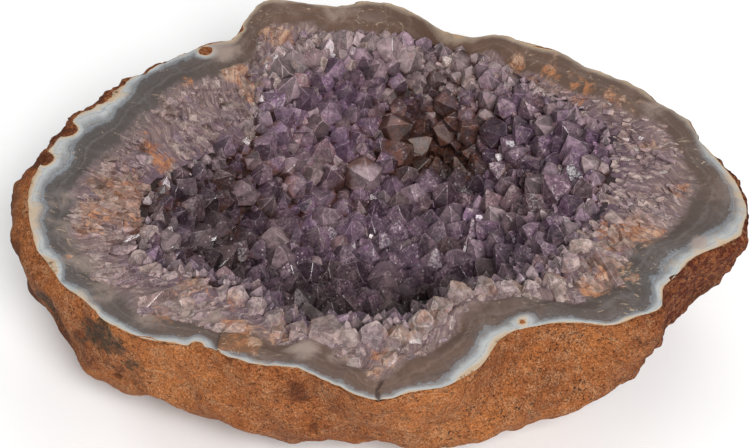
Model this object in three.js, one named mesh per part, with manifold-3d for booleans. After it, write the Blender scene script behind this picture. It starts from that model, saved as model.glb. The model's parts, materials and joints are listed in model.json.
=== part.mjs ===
// Half of a natural amethyst geode, open side up. A lumpy oval bowl of stone, rind, agate and quartz in
// one, holds a crust of amethyst crystals that line its hollow.
// Lengths are millimetres. The origin is the middle of the foot, +Z is up and -Y is the low front side.
import * as THREE from "three";
import { ConvexGeometry } from "three/addons/geometries/ConvexGeometry.js";
import { mergeVertices } from "three/addons/utils/BufferGeometryUtils.js";
import Module from "manifold-3d";

const wasm = await Module();
wasm.setup();

// The broken rim, anticlockwise from +X: angle in degrees, radius, height of its top.
const rimLine = [
  [1, 96, 49], [7, 93, 49], [15, 91, 50], [21, 86, 50.5], [27, 84, 50.5], [37, 78, 51], [45, 76, 51.5],
  [52, 73, 51.5], [60, 72.5, 51.5], [66, 68.5, 51], [74, 68.5, 51.5], [80, 73, 52], [86, 77.5, 52.5],
  [92, 79.5, 52.5], [101, 79.5, 52], [109, 85, 52.5], [114, 87, 52.5], [119, 83, 51.5], [125, 77, 50.5],
  [132, 78, 51.5], [141, 81.5, 51], [153, 87.5, 50.5], [165, 92, 50.5], [173, 95.5, 50], [180, 99, 49],
  [187, 100.5, 48.5], [194, 100.5, 48], [201, 97, 47], [207, 94.5, 46.5], [213, 90.5, 46.5],
  [220, 88, 46], [227, 84, 46], [235, 78.5, 45.5], [242, 77, 45.5], [248, 77, 45], [255, 75, 45.5],
  [262, 77, 45], [269, 81, 45], [275, 79.5, 45], [283, 78.5, 45.5], [289, 75.5, 46], [296, 70, 46],
  [306, 70.5, 46], [312, 75, 46], [317, 82.5, 46], [321, 86, 46.5], [325, 89, 46.5], [330, 86, 47],
  [338, 90, 47.5], [343, 97, 48], [346, 100, 48], [356, 99.5, 48.5],
];

// The belly of the stone, where it is widest below the rim: angle, radius.
const bellyLine = [
  [0, 96], [15, 88], [30, 81], [45, 75], [60, 71], [75, 69], [90, 75], [105, 79], [120, 80], [135, 77],
  [150, 85], [165, 91], [180, 97], [190, 98.5], [200, 94], [210, 91.5], [220, 86], [230, 82],
  [240, 78], [250, 76.5], [260, 74.5], [270, 74.5], [280, 75.5], [290, 76.5], [300, 77.5], [310, 80],
  [320, 84], [330, 84.5], [340, 87], [350, 95],
];

// The edge of the hollow, where free crystals begin: angle, radius, height.
const hollowLine = [
  [0, 62, 42], [10, 66, 43], [18, 69, 44], [29, 66, 45.5], [40, 63, 46], [56, 62, 46.5], [73, 63, 47],
  [84, 66, 47], [101, 67, 47], [116, 66.5, 47], [126, 59, 46.5], [132, 52, 45], [146, 43.5, 42],
  [156, 47, 42], [166, 52.5, 42], [174, 60, 42], [183, 63, 42], [191, 63.5, 42], [198, 66.5, 42],
  [204, 68, 42], [210, 63, 41.5], [215, 57.5, 41.5], [222, 53.5, 41.5], [228, 52, 41.5],
  [234, 53.5, 41.5], [243, 55.5, 41.5], [249, 58, 41], [255, 52.5, 41.5], [261, 54.5, 41.5],
  [267, 52, 41.5], [273, 50.5, 41.5], [280, 53.5, 41.5], [290, 48.5, 42], [300, 44.5, 42.5],
  [309, 49.5, 42.5], [317, 52.5, 42.5], [325, 56.5, 42.5], [333, 56, 42.5], [345, 58, 42],
];

// How far in from the edge the hollow's wall runs before it meets the bed: angle, share of the radius.
const wallLine = [
  [0, 0.6], [40, 0.38], [70, 0.26], [90, 0.3], [110, 0.42], [140, 0.5], [170, 0.5], [200, 0.36],
  [230, 0.34], [270, 0.36], [310, 0.4], [340, 0.5],
];

const bellyHeight = 24; // height of the widest line
const footShare = 0.5; // the flat foot's radius, as a share of the belly's
const wallRoundness = 1.5; // 2 is an ellipse, and 1 is a cone
const rindBevel = 0.8; // how far the rind's edge lies below the rim's top
const rindWidth = 4; // width of that bevel
const shelfCurve = 1.6; // how soon the broken rim levels off towards its outer edge
const crustWidth = 2.4; // how far the crust reaches into the stone beyond the hollow's edge
const crustDepth = 3.4; // thickness of the crust under the crystals
const crustGap = 0.5; // clearance between the crust and the stone
const sectors = 72; // round steps of every ring

// Waves that make the rind's lumps and dents: direction times wave number, phase, height.
const lumpWaves = [
  [0.17, 0.05, 0.12, 0.4, 0.9], [-0.08, 0.19, 0.1, 2.1, 0.8], [0.29, -0.14, 0.2, 4, 0.55],
  [0.1, 0.31, -0.22, 1.2, 0.5], [-0.33, 0.21, 0.3, 5.2, 0.4], [0.42, 0.3, 0.15, 3.3, 0.35],
];

// Waves that make the steps of the broken rim.
const breakWaves = [
  [0.31, 0.12, 0, 1.1, 0.5], [-0.14, 0.37, 0, 3.6, 0.45], [0.45, -0.38, 0, 0.2, 0.35], [0.2, 0.62, 0, 5, 0.3],
];

// The big crystals that stand out: x, y, half width, and how far the point leans along x and y.
const leadCrystals = [
  [-5, 29, 5.6, 0.15, -0.75], [4, 44, 4.8, 0.75, -0.45], [-17, 23, 4.6, -0.1, -0.6], [-29, 29, 4.2, 0, -0.55],
  [36, 36, 4.6, -0.5, -0.3], [41, 26, 4.2, -0.3, -0.35], [46, 14, 5.2, -0.3, -0.5], [33, 12, 4.4, 0.1, -0.2],
  [2, -7, 5.2, 0.15, -0.35], [24, 33, 4.4, -0.2, -0.3], [55, 24, 4.2, -0.4, -0.1], [-43, 22, 4, 0.3, -0.5],
  [26, -16, 4.8, -0.2, 0.15], [-8, 8, 4.4, 0.1, -0.1], [12, 20, 4.4, 0, -0.35], [-34, -8, 4.4, 0.1, 0],
  [0, 19, 4, 0.1, -0.3], [-22, 45, 4.4, 0.1, -0.5], [14, -30, 4.4, 0, 0.4], [29, 47, 4, -0.2, -0.5],
];

// Sizes and lie of the crystals.
const crystal = {
  faceSlope: THREE.MathUtils.degToRad(51.8), // between a point's faces and the plane across its axis
  smallest: 5, // half widths
  largest: 7.2,
  crowding: 0.66, // the least distance between two crystals, as a share of their half widths together
  sink: 0.35, // how deep the crystals stand in the bed, as a share of their half width
  tries: 2600,
  lean: 0.32, // how far a crystal may lean away from the bed's normal
  upward: 0.35, // how much the points turn up towards the opening
};

// A whole number's repeatable scatter, from 0 to 1.
function scatter(n) {
  const s = Math.sin(n * 78.233) * 43758.5453;
  return s - Math.floor(s);
}

function smoothStep(low, high, x) {
  const t = Math.min(1, Math.max(0, (x - low) / (high - low)));
  return t * t * (3 - 2 * t);
}

// The value of one column of a closed line of points, at any angle, on a smooth curve through them.
function around(line, column) {
  const pointAt = (k) => {
    const turn = Math.floor(k / line.length);
    const row = line[k - turn * line.length];
    return [row[0] + 360 * turn, row[column]];
  };
  return (theta) => {
    const degrees = (THREE.MathUtils.radToDeg(theta) + 720) % 360;
    const k = line.filter((row) => row[0] <= degrees).length - 1;
    const [before, from, to, after] = [k - 1, k, k + 1, k + 2].map(pointAt);
    const span = to[0] - from[0];
    const t = (degrees - from[0]) / span;
    const slopeFrom = (span * (to[1] - before[1])) / (to[0] - before[0]);
    const slopeTo = (span * (after[1] - from[1])) / (after[0] - from[0]);
    return (
      from[1] * (1 + 2 * t) * (1 - t) ** 2 +
      slopeFrom * t * (1 - t) ** 2 +
      to[1] * t * t * (3 - 2 * t) +
      slopeTo * t * t * (t - 1)
    );
  };
}

const rimRadius = around(rimLine, 1);
const rimHeight = around(rimLine, 2);
const bellyRadius = around(bellyLine, 1);
const hollowRadius = around(hollowLine, 1);
const hollowHeight = around(hollowLine, 2);
const wallShare = around(wallLine, 1);

function waves(list, x, y, z) {
  let sum = 0;
  for (const [kx, ky, kz, phase, height] of list) sum += height * Math.sin(kx * x + ky * y + kz * z + phase);
  return sum;
}

// Radius of the rind's outside at a height.
function wallRadius(theta, z) {
  const belly = bellyRadius(theta);
  const top = rimHeight(theta) - rindBevel;
  let radius;
  if (z >= bellyHeight) {
    radius = belly + (rimRadius(theta) - belly) * smoothStep(bellyHeight, top, z);
  } else {
    const down = 1 - z / bellyHeight;
    const bulge = (1 - down ** wallRoundness) ** (1 / wallRoundness);
    radius = belly * (footShare + (1 - footShare) * bulge);
  }
  const calm = smoothStep(0, 8, z) * (1 - 0.7 * smoothStep(bellyHeight, top, z));
  return radius + calm * waves(lumpWaves, radius * Math.cos(theta), radius * Math.sin(theta), z);
}

// Height of the broken rim between the crust's outer edge, at share 0, and the rim, at share 1.
function shelfHeight(theta, share) {
  const low = hollowHeight(theta);
  const radius = hollowRadius(theta) + share * (rimRadius(theta) - hollowRadius(theta));
  const rise = (rimHeight(theta) - low) * (1 - (1 - share) ** shelfCurve);
  const steps = waves(breakWaves, radius * Math.cos(theta), radius * Math.sin(theta), 0);
  const rough = 4 * share * (1 - share) * steps;
  return low + rise + rough;
}

// The crystals' bed away from the walls: a deep floor in front, a ledge with a slope behind it that climbs
// to the rim, a pit at the back, and a hump on the right.
function bedHeight(x, y) {
  const ledge = 24 + 10 * smoothStep(-20, 12, x) + 5 * smoothStep(-45, -62, x);
  const left = 1 - smoothStep(2, 16, x);
  const floor = 15.5 + 3.5 * smoothStep(-22, 8, y);
  const slope = left * (6.5 * smoothStep(ledge - 4, ledge + 3, y) + 0.45 * Math.max(0, y - ledge));
  const bump = (cx, cy, wide, deep) => Math.exp(-(((x - cx) / wide) ** 2) - ((y - cy) / deep) ** 2);
  const ridge = 5 * bump(20, 27, 15, 8);
  const pit = 3 * bump(20, 43, 12, 9);
  const hump = 8 * smoothStep(20, 46, x) * smoothStep(-26, 6, y);
  return floor + slope + ridge - pit + hump;
}

// Height of the crystals' bed. Beyond the hollow's edge it goes on level. Its underside and the stone
// under it are the same form, grown outwards and dropped.
function bowlHeight(x, y, grow, drop) {
  const theta = Math.atan2(y, x);
  const inward = 1 - Math.hypot(x, y) / (hollowRadius(theta) + grow);
  const onBed = smoothStep(0, wallShare(theta), inward);
  return hollowHeight(theta) * (1 - onBed) + (bedHeight(x, y) - drop) * onBed;
}

// A closed solid from rings of points that run from the middle of its underside to the middle of its top.
// Each ring gives radius and height at an angle. The first and the last are single points. Two surfaces
// that lie close together are split into triangles alike if one of them runs inwards and the other has
// flipped set.
function ringSolid(bottom, rings, top, flipped = false) {
  const points = [bottom];
  for (const ring of rings) {
    for (let k = 0; k < sectors; k++) {
      const theta = (2 * Math.PI * k) / sectors;
      const [radius, height] = ring(theta);
      points.push([radius * Math.cos(theta), radius * Math.sin(theta), height]);
    }
  }
  points.push(top);
  const at = (ring, k) => 1 + ring * sectors + (k % sectors);
  const faces = [];
  for (let k = 0; k < sectors; k++) {
    faces.push([0, at(0, k + 1), at(0, k)]);
    for (let ring = 0; ring + 1 < rings.length; ring++) {
      const [a, b, c, d] = [at(ring, k), at(ring, k + 1), at(ring + 1, k + 1), at(ring + 1, k)];
      if (k % 2 === 1 - flipped) faces.push([a, b, c], [a, c, d]);
      else faces.push([a, b, d], [b, c, d]);
    }
    faces.push([at(rings.length - 1, k), at(rings.length - 1, k + 1), points.length - 1]);
  }
  const geometry = new THREE.BufferGeometry();
  geometry.setAttribute("position", new THREE.Float32BufferAttribute(points.flat(), 3));
  geometry.setIndex(faces.flat());
  return geometry;
}

function toSolid(geometry) {
  const bare = geometry.clone();
  bare.deleteAttribute("normal");
  bare.deleteAttribute("uv");
  const merged = mergeVertices(bare, 1e-4);
  const mesh = new wasm.Mesh({
    numProp: 3,
    vertProperties: merged.attributes.position.array,
    triVerts: new Uint32Array(merged.index.array),
  });
  return new wasm.Manifold(mesh);
}

function toGeometry(solid) {
  const mesh = solid.getMesh();
  const geometry = new THREE.BufferGeometry();
  geometry.setAttribute("position", new THREE.BufferAttribute(mesh.vertProperties, 3));
  geometry.setIndex(new THREE.BufferAttribute(mesh.triVerts, 1));
  return geometry.toNonIndexed();
}

// A ring on the bed or on one of the surfaces like it, at a share of the way in from the edge.
function bowlRing(inward, grow, drop) {
  return (theta) => {
    const radius = (hollowRadius(theta) + grow) * (1 - inward);
    return [radius, bowlHeight(radius * Math.cos(theta), radius * Math.sin(theta), grow, drop)];
  };
}

const underSteps = [0, 0.1, 0.22, 0.36, 0.54, 0.76]; // rings under the crust, as shares of the way in
const bedSteps = [0, 0.06, 0.13, 0.2, 0.28, 0.36, 0.45, 0.55, 0.67, 0.82];

// The stone: foot, rind, broken rim and the hollow under the crust.
function makeShell() {
  const wallRing = (z) => (theta) => [wallRadius(theta, z), z];
  const upperRing = (share) => (theta) => {
    const z = bellyHeight + share * (rimHeight(theta) - rindBevel - bellyHeight);
    return [wallRadius(theta, z), z];
  };
  const rindRing = (theta) => [rimRadius(theta) - rindWidth, rimHeight(theta)];
  const shelfRing = (share) => (theta) => {
    const inner = hollowRadius(theta) + crustWidth;
    return [inner + share * (rimRadius(theta) - rindWidth - inner), shelfHeight(theta, share)];
  };
  const rings = [
    ...[0, 2.5, 6, 11, 17].map(wallRing),
    ...[0, 0.35, 0.7, 1].map(upperRing),
    rindRing,
    ...[0.66, 0.33, 0].map(shelfRing),
    ...underSteps.slice(1).map((inward) => bowlRing(inward, crustWidth, crustDepth)),
  ];
  return ringSolid([0, 0, 0], rings, [0, 0, bowlHeight(0, 0, crustWidth, crustDepth)]);
}

// Everything above the crust's underside: its outside is the crust's edge, and it is open far above the rim.
function makeRoom(ceiling) {
  const grow = crustWidth - crustGap;
  const drop = crustDepth - crustGap;
  const rings = [...underSteps].reverse().map((inward) => bowlRing(inward, grow, drop));
  rings.push((theta) => [hollowRadius(theta) + grow, ceiling]);
  return toSolid(ringSolid([0, 0, bowlHeight(0, 0, grow, drop)], rings, [0, 0, ceiling], true));
}

// The crust under the crystals, from below its underside up to the bed.
function makeBed() {
  const grow = 2 * crustWidth;
  const deep = (theta) => [hollowRadius(theta) + grow, 0];
  const edge = (theta) => [hollowRadius(theta) + grow, hollowHeight(theta)];
  const rings = [deep, edge, ...bedSteps.map((inward) => bowlRing(inward, 0, 0))];
  return toSolid(ringSolid([0, 0, 0], rings, [0, 0, bowlHeight(0, 0, 0, 0)])).simplify(0.5);
}

function bedNormal(x, y) {
  const step = 1.5;
  const dx = (bowlHeight(x + step, y, 0, 0) - bowlHeight(x - step, y, 0, 0)) / (2 * step);
  const dy = (bowlHeight(x, y + step, 0, 0) - bowlHeight(x, y - step, 0, 0)) / (2 * step);
  return new THREE.Vector3(-dx, -dy, 1).normalize();
}

// Where the crystals stand: the big ones first, then others wherever there is room for them.
function placeCrystals() {
  const placed = [];
  leadCrystals.forEach(([x, y, half, leanX, leanY], n) => {
    const root = new THREE.Vector3(x, y, bowlHeight(x, y, 0, 0));
    const axis = bedNormal(x, y).add(new THREE.Vector3(leanX, leanY, crystal.upward)).normalize();
    placed.push({ root, axis, half, seed: 7000 + 31 * n, rise: 0.5 });
  });
  for (let n = 1; n <= crystal.tries; n++) {
    const x = 75 * (2 * ((n * 0.7548776662) % 1) - 1);
    const y = 70 * (2 * ((n * 0.569840291) % 1) - 1);
    const room = hollowRadius(Math.atan2(y, x)) - Math.hypot(x, y);
    if (room < 1) continue;
    const spread = crystal.smallest + (crystal.largest - crystal.smallest) * scatter(n) ** 1.5;
    const half = spread * (0.6 + 0.4 * smoothStep(0, 9, room));
    const root = new THREE.Vector3(x, y, bowlHeight(x, y, 0, 0));
    const near = (other) => other.root.distanceTo(root) < crystal.crowding * (other.half + half);
    if (placed.some(near)) continue;
    const turn = 2 * Math.PI * scatter(n + 0.3);
    const lean = crystal.lean * Math.sqrt(scatter(n + 0.6));
    const away = new THREE.Vector3(lean * Math.cos(turn), lean * Math.sin(turn), crystal.upward);
    const axis = bedNormal(x, y).add(away).normalize();
    placed.push({ root, axis, half, seed: n, rise: 0.3 * scatter(n + 0.9) });
  }
  return placed;
}

// One crystal: a six-sided column under a six-faced point. Its faces lie at slightly uneven distances, and
// every other face of the point is smaller. It is the hull of the corners where three of its faces meet.
function makeCrystal({ root, axis, half, seed, rise }) {
  const twist = (Math.PI / 3) * scatter(seed + 0.11);
  const tip = half * (Math.tan(crystal.faceSlope) + rise);
  const faces = [];
  for (let k = 0; k < 6; k++) {
    const phi = twist + (k * Math.PI) / 3;
    const uneven = 0.86 + 0.28 * scatter(seed + 0.13 * (k + 1));
    faces.push({ normal: new THREE.Vector3(Math.cos(phi), Math.sin(phi), 0), distance: half * uneven });
    const out = Math.sin(crystal.faceSlope);
    const up = Math.cos(crystal.faceSlope);
    const smaller = (k % 2) * half * (0.06 + 0.26 * scatter(seed + 0.17 * (k + 1)));
    const normal = new THREE.Vector3(out * Math.cos(phi), out * Math.sin(phi), up);
    faces.push({ normal, distance: up * tip + smaller });
  }
  faces.push({ normal: new THREE.Vector3(0, 0, -1), distance: half });
  const corners = [];
  for (let a = 0; a < faces.length; a++)
    for (let b = a + 1; b < faces.length; b++)
      for (let c = b + 1; c < faces.length; c++) {
        const corner = meeting(faces[a], faces[b], faces[c]);
        const inside = (face) => face.normal.dot(corner) <= face.distance + 1e-6;
        if (corner && faces.every(inside)) corners.push(corner);
      }
  const geometry = new ConvexGeometry(corners);
  const stand = new THREE.Quaternion().setFromUnitVectors(new THREE.Vector3(0, 0, 1), axis);
  geometry.applyQuaternion(stand);
  const foot = root.clone().addScaledVector(axis, -crystal.sink * half);
  geometry.translate(foot.x, foot.y, foot.z);
  return toSolid(geometry);
}

// The point where three planes meet, or null if two of them are parallel.
function meeting(a, b, c) {
  const across = new THREE.Vector3().crossVectors(b.normal, c.normal);
  const spread = a.normal.dot(across);
  if (Math.abs(spread) < 1e-6) return null;
  return across
    .multiplyScalar(a.distance)
    .addScaledVector(new THREE.Vector3().crossVectors(c.normal, a.normal), b.distance)
    .addScaledVector(new THREE.Vector3().crossVectors(a.normal, b.normal), c.distance)
    .divideScalar(spread);
}

function makeCrust() {
  const ceiling = 70;
  const crystals = placeCrystals().map(makeCrystal);
  const grown = wasm.Manifold.union([makeBed(), ...crystals]).asOriginal().simplify(0.3);
  const bodies = grown.intersect(makeRoom(ceiling)).decompose();
  bodies.sort((a, b) => b.volume() - a.volume());
  return toGeometry(bodies[0].asOriginal().simplify(0.1));
}

const stone = new THREE.MeshStandardMaterial({ color: 0x9a6240, roughness: 0.9, flatShading: true });
const amethyst = new THREE.MeshStandardMaterial({ color: 0x6b5577, roughness: 0.25, flatShading: true });

function named(name, geometry, material) {
  geometry.computeVertexNormals();
  const mesh = new THREE.Mesh(geometry, material);
  mesh.name = name;
  return mesh;
}

const geode = new THREE.Group();
geode.add(named("geode_shell", makeShell(), stone));
geode.add(named("amethyst_crust", makeCrust(), amethyst));

export default geode;
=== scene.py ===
# Amethyst geode half, open side up: a rough rind, a broken agate rim, a belt of broken quartz and a hollow
# full of amethyst crystals. Lengths are in millimetres until a mesh is made, and Blender's are metres.
import json
import math

import bmesh
import bpy
import numpy as np
from mathutils import Matrix, Quaternion, Vector

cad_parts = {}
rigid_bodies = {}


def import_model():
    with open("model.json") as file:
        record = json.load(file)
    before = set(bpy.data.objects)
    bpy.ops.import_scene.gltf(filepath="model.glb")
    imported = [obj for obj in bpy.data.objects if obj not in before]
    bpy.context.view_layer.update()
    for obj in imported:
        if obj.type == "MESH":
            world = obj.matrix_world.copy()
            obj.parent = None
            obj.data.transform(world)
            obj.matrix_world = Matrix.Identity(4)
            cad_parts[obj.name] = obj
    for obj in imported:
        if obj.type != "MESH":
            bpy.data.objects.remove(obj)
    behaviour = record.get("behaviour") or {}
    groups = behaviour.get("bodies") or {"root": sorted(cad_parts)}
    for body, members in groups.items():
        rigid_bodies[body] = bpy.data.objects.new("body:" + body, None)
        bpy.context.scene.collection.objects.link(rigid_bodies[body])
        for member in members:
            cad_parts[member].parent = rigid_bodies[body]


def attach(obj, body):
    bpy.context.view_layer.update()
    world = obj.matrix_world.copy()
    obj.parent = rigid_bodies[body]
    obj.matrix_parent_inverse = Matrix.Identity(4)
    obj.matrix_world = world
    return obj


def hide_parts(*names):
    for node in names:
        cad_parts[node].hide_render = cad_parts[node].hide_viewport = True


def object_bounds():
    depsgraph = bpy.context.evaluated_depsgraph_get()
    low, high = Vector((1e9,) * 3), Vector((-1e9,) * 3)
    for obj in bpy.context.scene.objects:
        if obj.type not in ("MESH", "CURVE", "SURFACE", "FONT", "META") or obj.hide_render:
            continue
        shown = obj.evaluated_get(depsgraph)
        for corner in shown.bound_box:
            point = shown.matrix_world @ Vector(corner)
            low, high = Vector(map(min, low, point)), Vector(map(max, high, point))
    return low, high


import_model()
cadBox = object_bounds()
mm = 0.001

# The same outlines as in the solid: angle in degrees from +X, radius, height.
rimLine = [
    [1, 96, 49], [7, 93, 49], [15, 91, 50], [21, 86, 50.5], [27, 84, 50.5], [37, 78, 51], [45, 76, 51.5],
    [52, 73, 51.5], [60, 72.5, 51.5], [66, 68.5, 51], [74, 68.5, 51.5], [80, 73, 52], [86, 77.5, 52.5],
    [92, 79.5, 52.5], [101, 79.5, 52], [109, 85, 52.5], [114, 87, 52.5], [119, 83, 51.5], [125, 77, 50.5],
    [132, 78, 51.5], [141, 81.5, 51], [153, 87.5, 50.5], [165, 92, 50.5], [173, 95.5, 50], [180, 99, 49],
    [187, 100.5, 48.5], [194, 100.5, 48], [201, 97, 47], [207, 94.5, 46.5], [213, 90.5, 46.5],
    [220, 88, 46], [227, 84, 46], [235, 78.5, 45.5], [242, 77, 45.5], [248, 77, 45], [255, 75, 45.5],
    [262, 77, 45], [269, 81, 45], [275, 79.5, 45], [283, 78.5, 45.5], [289, 75.5, 46], [296, 70, 46],
    [306, 70.5, 46], [312, 75, 46], [317, 82.5, 46], [321, 86, 46.5], [325, 89, 46.5], [330, 86, 47],
    [338, 90, 47.5], [343, 97, 48], [346, 100, 48], [356, 99.5, 48.5],
]
bellyLine = [
    [0, 96], [15, 88], [30, 81], [45, 75], [60, 71], [75, 69], [90, 75], [105, 79], [120, 80], [135, 77],
    [150, 85], [165, 91], [180, 97], [190, 98.5], [200, 94], [210, 91.5], [220, 86], [230, 82], [240, 78],
    [250, 76.5], [260, 74.5], [270, 74.5], [280, 75.5], [290, 76.5], [300, 77.5], [310, 80], [320, 84],
    [330, 84.5], [340, 87], [350, 95],
]
hollowLine = [
    [0, 62, 42], [10, 66, 43], [18, 69, 44], [29, 66, 45.5], [40, 63, 46], [56, 62, 46.5], [73, 63, 47],
    [84, 66, 47], [101, 67, 47], [116, 66.5, 47], [126, 59, 46.5], [132, 52, 45], [146, 43.5, 42],
    [156, 47, 42], [166, 52.5, 42], [174, 60, 42], [183, 63, 42], [191, 63.5, 42], [198, 66.5, 42],
    [204, 68, 42], [210, 63, 41.5], [215, 57.5, 41.5], [222, 53.5, 41.5], [228, 52, 41.5],
    [234, 53.5, 41.5], [243, 55.5, 41.5], [249, 58, 41], [255, 52.5, 41.5], [261, 54.5, 41.5],
    [267, 52, 41.5], [273, 50.5, 41.5], [280, 53.5, 41.5], [290, 48.5, 42], [300, 44.5, 42.5],
    [309, 49.5, 42.5], [317, 52.5, 42.5], [325, 56.5, 42.5], [333, 56, 42.5], [345, 58, 42],
]
wallLine = [
    [0, 0.6], [40, 0.38], [70, 0.26], [90, 0.3], [110, 0.42], [140, 0.5], [170, 0.5], [200, 0.36],
    [230, 0.34], [270, 0.36], [310, 0.4], [340, 0.5],
]
bellyHeight = 24
footShare = 0.5
wallRoundness = 1.5
shelfCurve = 1.6
crustWidth = 2.4
crustDepth = 3.4
lumpWaves = [
    [0.17, 0.05, 0.12, 0.4, 0.9], [-0.08, 0.19, 0.1, 2.1, 0.8], [0.29, -0.14, 0.2, 4, 0.55],
    [0.1, 0.31, -0.22, 1.2, 0.5], [-0.33, 0.21, 0.3, 5.2, 0.4], [0.42, 0.3, 0.15, 3.3, 0.35],
]
breakWaves = [
    [0.31, 0.12, 0, 1.1, 0.5], [-0.14, 0.37, 0, 3.6, 0.45], [0.45, -0.38, 0, 0.2, 0.35],
    [0.2, 0.62, 0, 5, 0.3],
]

# How far in from the rim's edge each layer ends on the broken face: angle, distance.
rindLine = [
    [0, 0.6], [60, 0.8], [100, 1], [125, 1.2], [140, 1.5], [150, 3], [158, 4.5], [166, 3.2], [176, 4.4],
    [186, 5.2], [192, 6], [198, 4.4], [206, 3.6], [212, 1.8], [218, 0.7], [232, 0.6], [237, 1.6],
    [241, 0.6], [248, 2], [254, 1.6], [260, 0.5], [290, 0.5], [300, 2], [307, 1], [315, 0.6], [327, 1.6],
    [332, 0.6], [341, 2], [348, 0.6],
]
whiteLine = [
    [0, 4], [20, 3.2], [60, 3], [95, 3.6], [125, 3.6], [145, 5], [152, 8], [158, 10], [165, 10],
    [171, 11.5], [177, 12.5], [183, 10], [190, 10.8], [197, 9], [204, 6.6], [212, 4], [219, 2.6],
    [227, 2.6], [233, 3.8], [240, 2.2], [247, 3.6], [254, 2.9], [261, 2], [270, 2], [281, 2.8],
    [286, 5.6], [292, 8.4], [297, 7.2], [303, 3.6], [312, 3.4], [320, 2.8], [326, 4.4], [333, 6],
    [339, 8.4], [344, 9.6], [349, 5.6],
]
greyLine = [
    [3, 9.5], [18, 8.3], [31, 10], [48, 9], [56, 7.6], [66, 5.4], [73, 5], [82, 7.3], [90, 9.6],
    [104, 9.4], [111, 11.5], [118, 9.5], [125, 10.5], [133, 14], [150, 14.5], [158, 17.5], [166, 18],
    [180, 18.5], [190, 17.5], [198, 15.5], [206, 12.2], [213, 9], [221, 7.6], [227, 10], [236, 9.8],
    [245, 12.2], [258, 11.4], [264, 10.5], [270, 6.5], [276, 11], [282, 14], [290, 17], [300, 16.6],
    [308, 15], [316, 15], [325, 16.4], [331, 15], [340, 17.5], [347, 19], [354, 14.5],
]

# How white the white layer is, from 0 to 1: it is hardly there at the back.
whitenessLine = [
    [0, 0.85], [15, 0.65], [50, 0.55], [70, 0.55], [100, 0.55], [120, 0.6], [135, 0.85], [150, 1],
    [205, 1], [230, 0.9], [260, 0.85], [290, 1], [300, 0.9], [330, 1], [348, 0.9],
]

# How dark and slaty the grey is, from 0 brownish to 1.
coolLine = [
    [0, 0.5], [60, 0.15], [110, 0.2], [135, 0.7], [155, 1], [200, 1], [225, 0.6], [245, 0.3], [285, 0.25],
    [310, 0.6], [335, 0.9],
]


def smoothStep(low, high, x):
    t = np.clip((x - low) / (high - low), 0, 1)
    return t * t * (3 - 2 * t)


# A smooth closed curve through a line's points, as a function of the angle.
def closedCurve(line, column=1):
    points = np.array(line, float)
    ends = (points[-2:], points, points[:3])
    angles = np.concatenate([part[:, 0] + 360 * turn for turn, part in zip((-1, 0, 1), ends)])
    values = np.concatenate([part[:, column] for part in ends])

    def at(theta):
        degrees = np.degrees(theta) % 360
        k = np.searchsorted(angles, degrees, side="right") - 1
        span = angles[k + 1] - angles[k]
        t = (degrees - angles[k]) / span
        slopeFrom = span * (values[k + 1] - values[k - 1]) / (angles[k + 1] - angles[k - 1])
        slopeTo = span * (values[k + 2] - values[k]) / (angles[k + 2] - angles[k])
        start = values[k] * (1 + 2 * t) * (1 - t) ** 2 + slopeFrom * t * (1 - t) ** 2
        return start + values[k + 1] * t * t * (3 - 2 * t) + slopeTo * t * t * (t - 1)

    return at


rimRadius = closedCurve(rimLine)
rimHeight = closedCurve(rimLine, 2)
bellyRadius = closedCurve(bellyLine)
hollowRadius = closedCurve(hollowLine)
hollowHeight = closedCurve(hollowLine, 2)
wallShare = closedCurve(wallLine)
rindWidth = closedCurve(rindLine)
whiteEnd = closedCurve(whiteLine)
whiteness = closedCurve(whitenessLine)
coolness = closedCurve(coolLine)
greyEnd = closedCurve(greyLine)


def waves(table, x, y, z):
    return sum(height * np.sin(kx * x + ky * y + kz * z + phase) for kx, ky, kz, phase, height in table)


def wallRadius(theta, z):
    belly = bellyRadius(theta)
    top = rimHeight(theta) - 0.8
    upper = belly + (rimRadius(theta) - belly) * smoothStep(bellyHeight, top, z)
    down = np.clip(1 - z / bellyHeight, 0, 1)
    lower = belly * (footShare + (1 - footShare) * (1 - down**wallRoundness) ** (1 / wallRoundness))
    radius = np.where(z >= bellyHeight, upper, lower)
    calm = smoothStep(0, 8, z) * (1 - 0.7 * smoothStep(bellyHeight, top, z))
    return radius + calm * waves(lumpWaves, radius * np.cos(theta), radius * np.sin(theta), z)


def shelfHeight(theta, share):
    low = hollowHeight(theta)
    radius = hollowRadius(theta) + share * (rimRadius(theta) - hollowRadius(theta))
    rise = (rimHeight(theta) - low) * (1 - (1 - share) ** shelfCurve)
    rough = 4 * share * (1 - share) * waves(breakWaves, radius * np.cos(theta), radius * np.sin(theta), 0)
    return low + rise + rough


# How far the broken face slopes, from the crystals' edge to where it levels off near the rim.
def shelfReach(theta):
    room = rimRadius(theta) - hollowRadius(theta) - crustWidth
    return np.maximum(room - 4, 0.7 * room)


def bedHeight(x, y):
    ledge = 24 + 10 * smoothStep(-20, 12, x) + 5 * (1 - smoothStep(-62, -45, x))
    left = 1 - smoothStep(2, 16, x)
    floor = 15.5 + 3.5 * smoothStep(-22, 8, y)
    slope = left * (6.5 * smoothStep(ledge - 4, ledge + 3, y) + 0.45 * np.maximum(0, y - ledge))
    bump = lambda cx, cy, wide, deep: np.exp(-(((x - cx) / wide) ** 2) - ((y - cy) / deep) ** 2)
    hump = 8 * smoothStep(20, 46, x) * smoothStep(-26, 6, y)
    return floor + slope + 5 * bump(20, 27, 15, 8) - 3 * bump(20, 43, 12, 9) + hump


def bowlHeight(x, y, grow=0.0, drop=0.0):
    theta = np.arctan2(y, x)
    inward = 1 - np.hypot(x, y) / (hollowRadius(theta) + grow)
    onBed = smoothStep(0, wallShare(theta), inward)
    return hollowHeight(theta) * (1 - onBed) + (bedHeight(x, y) - drop) * onBed


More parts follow.
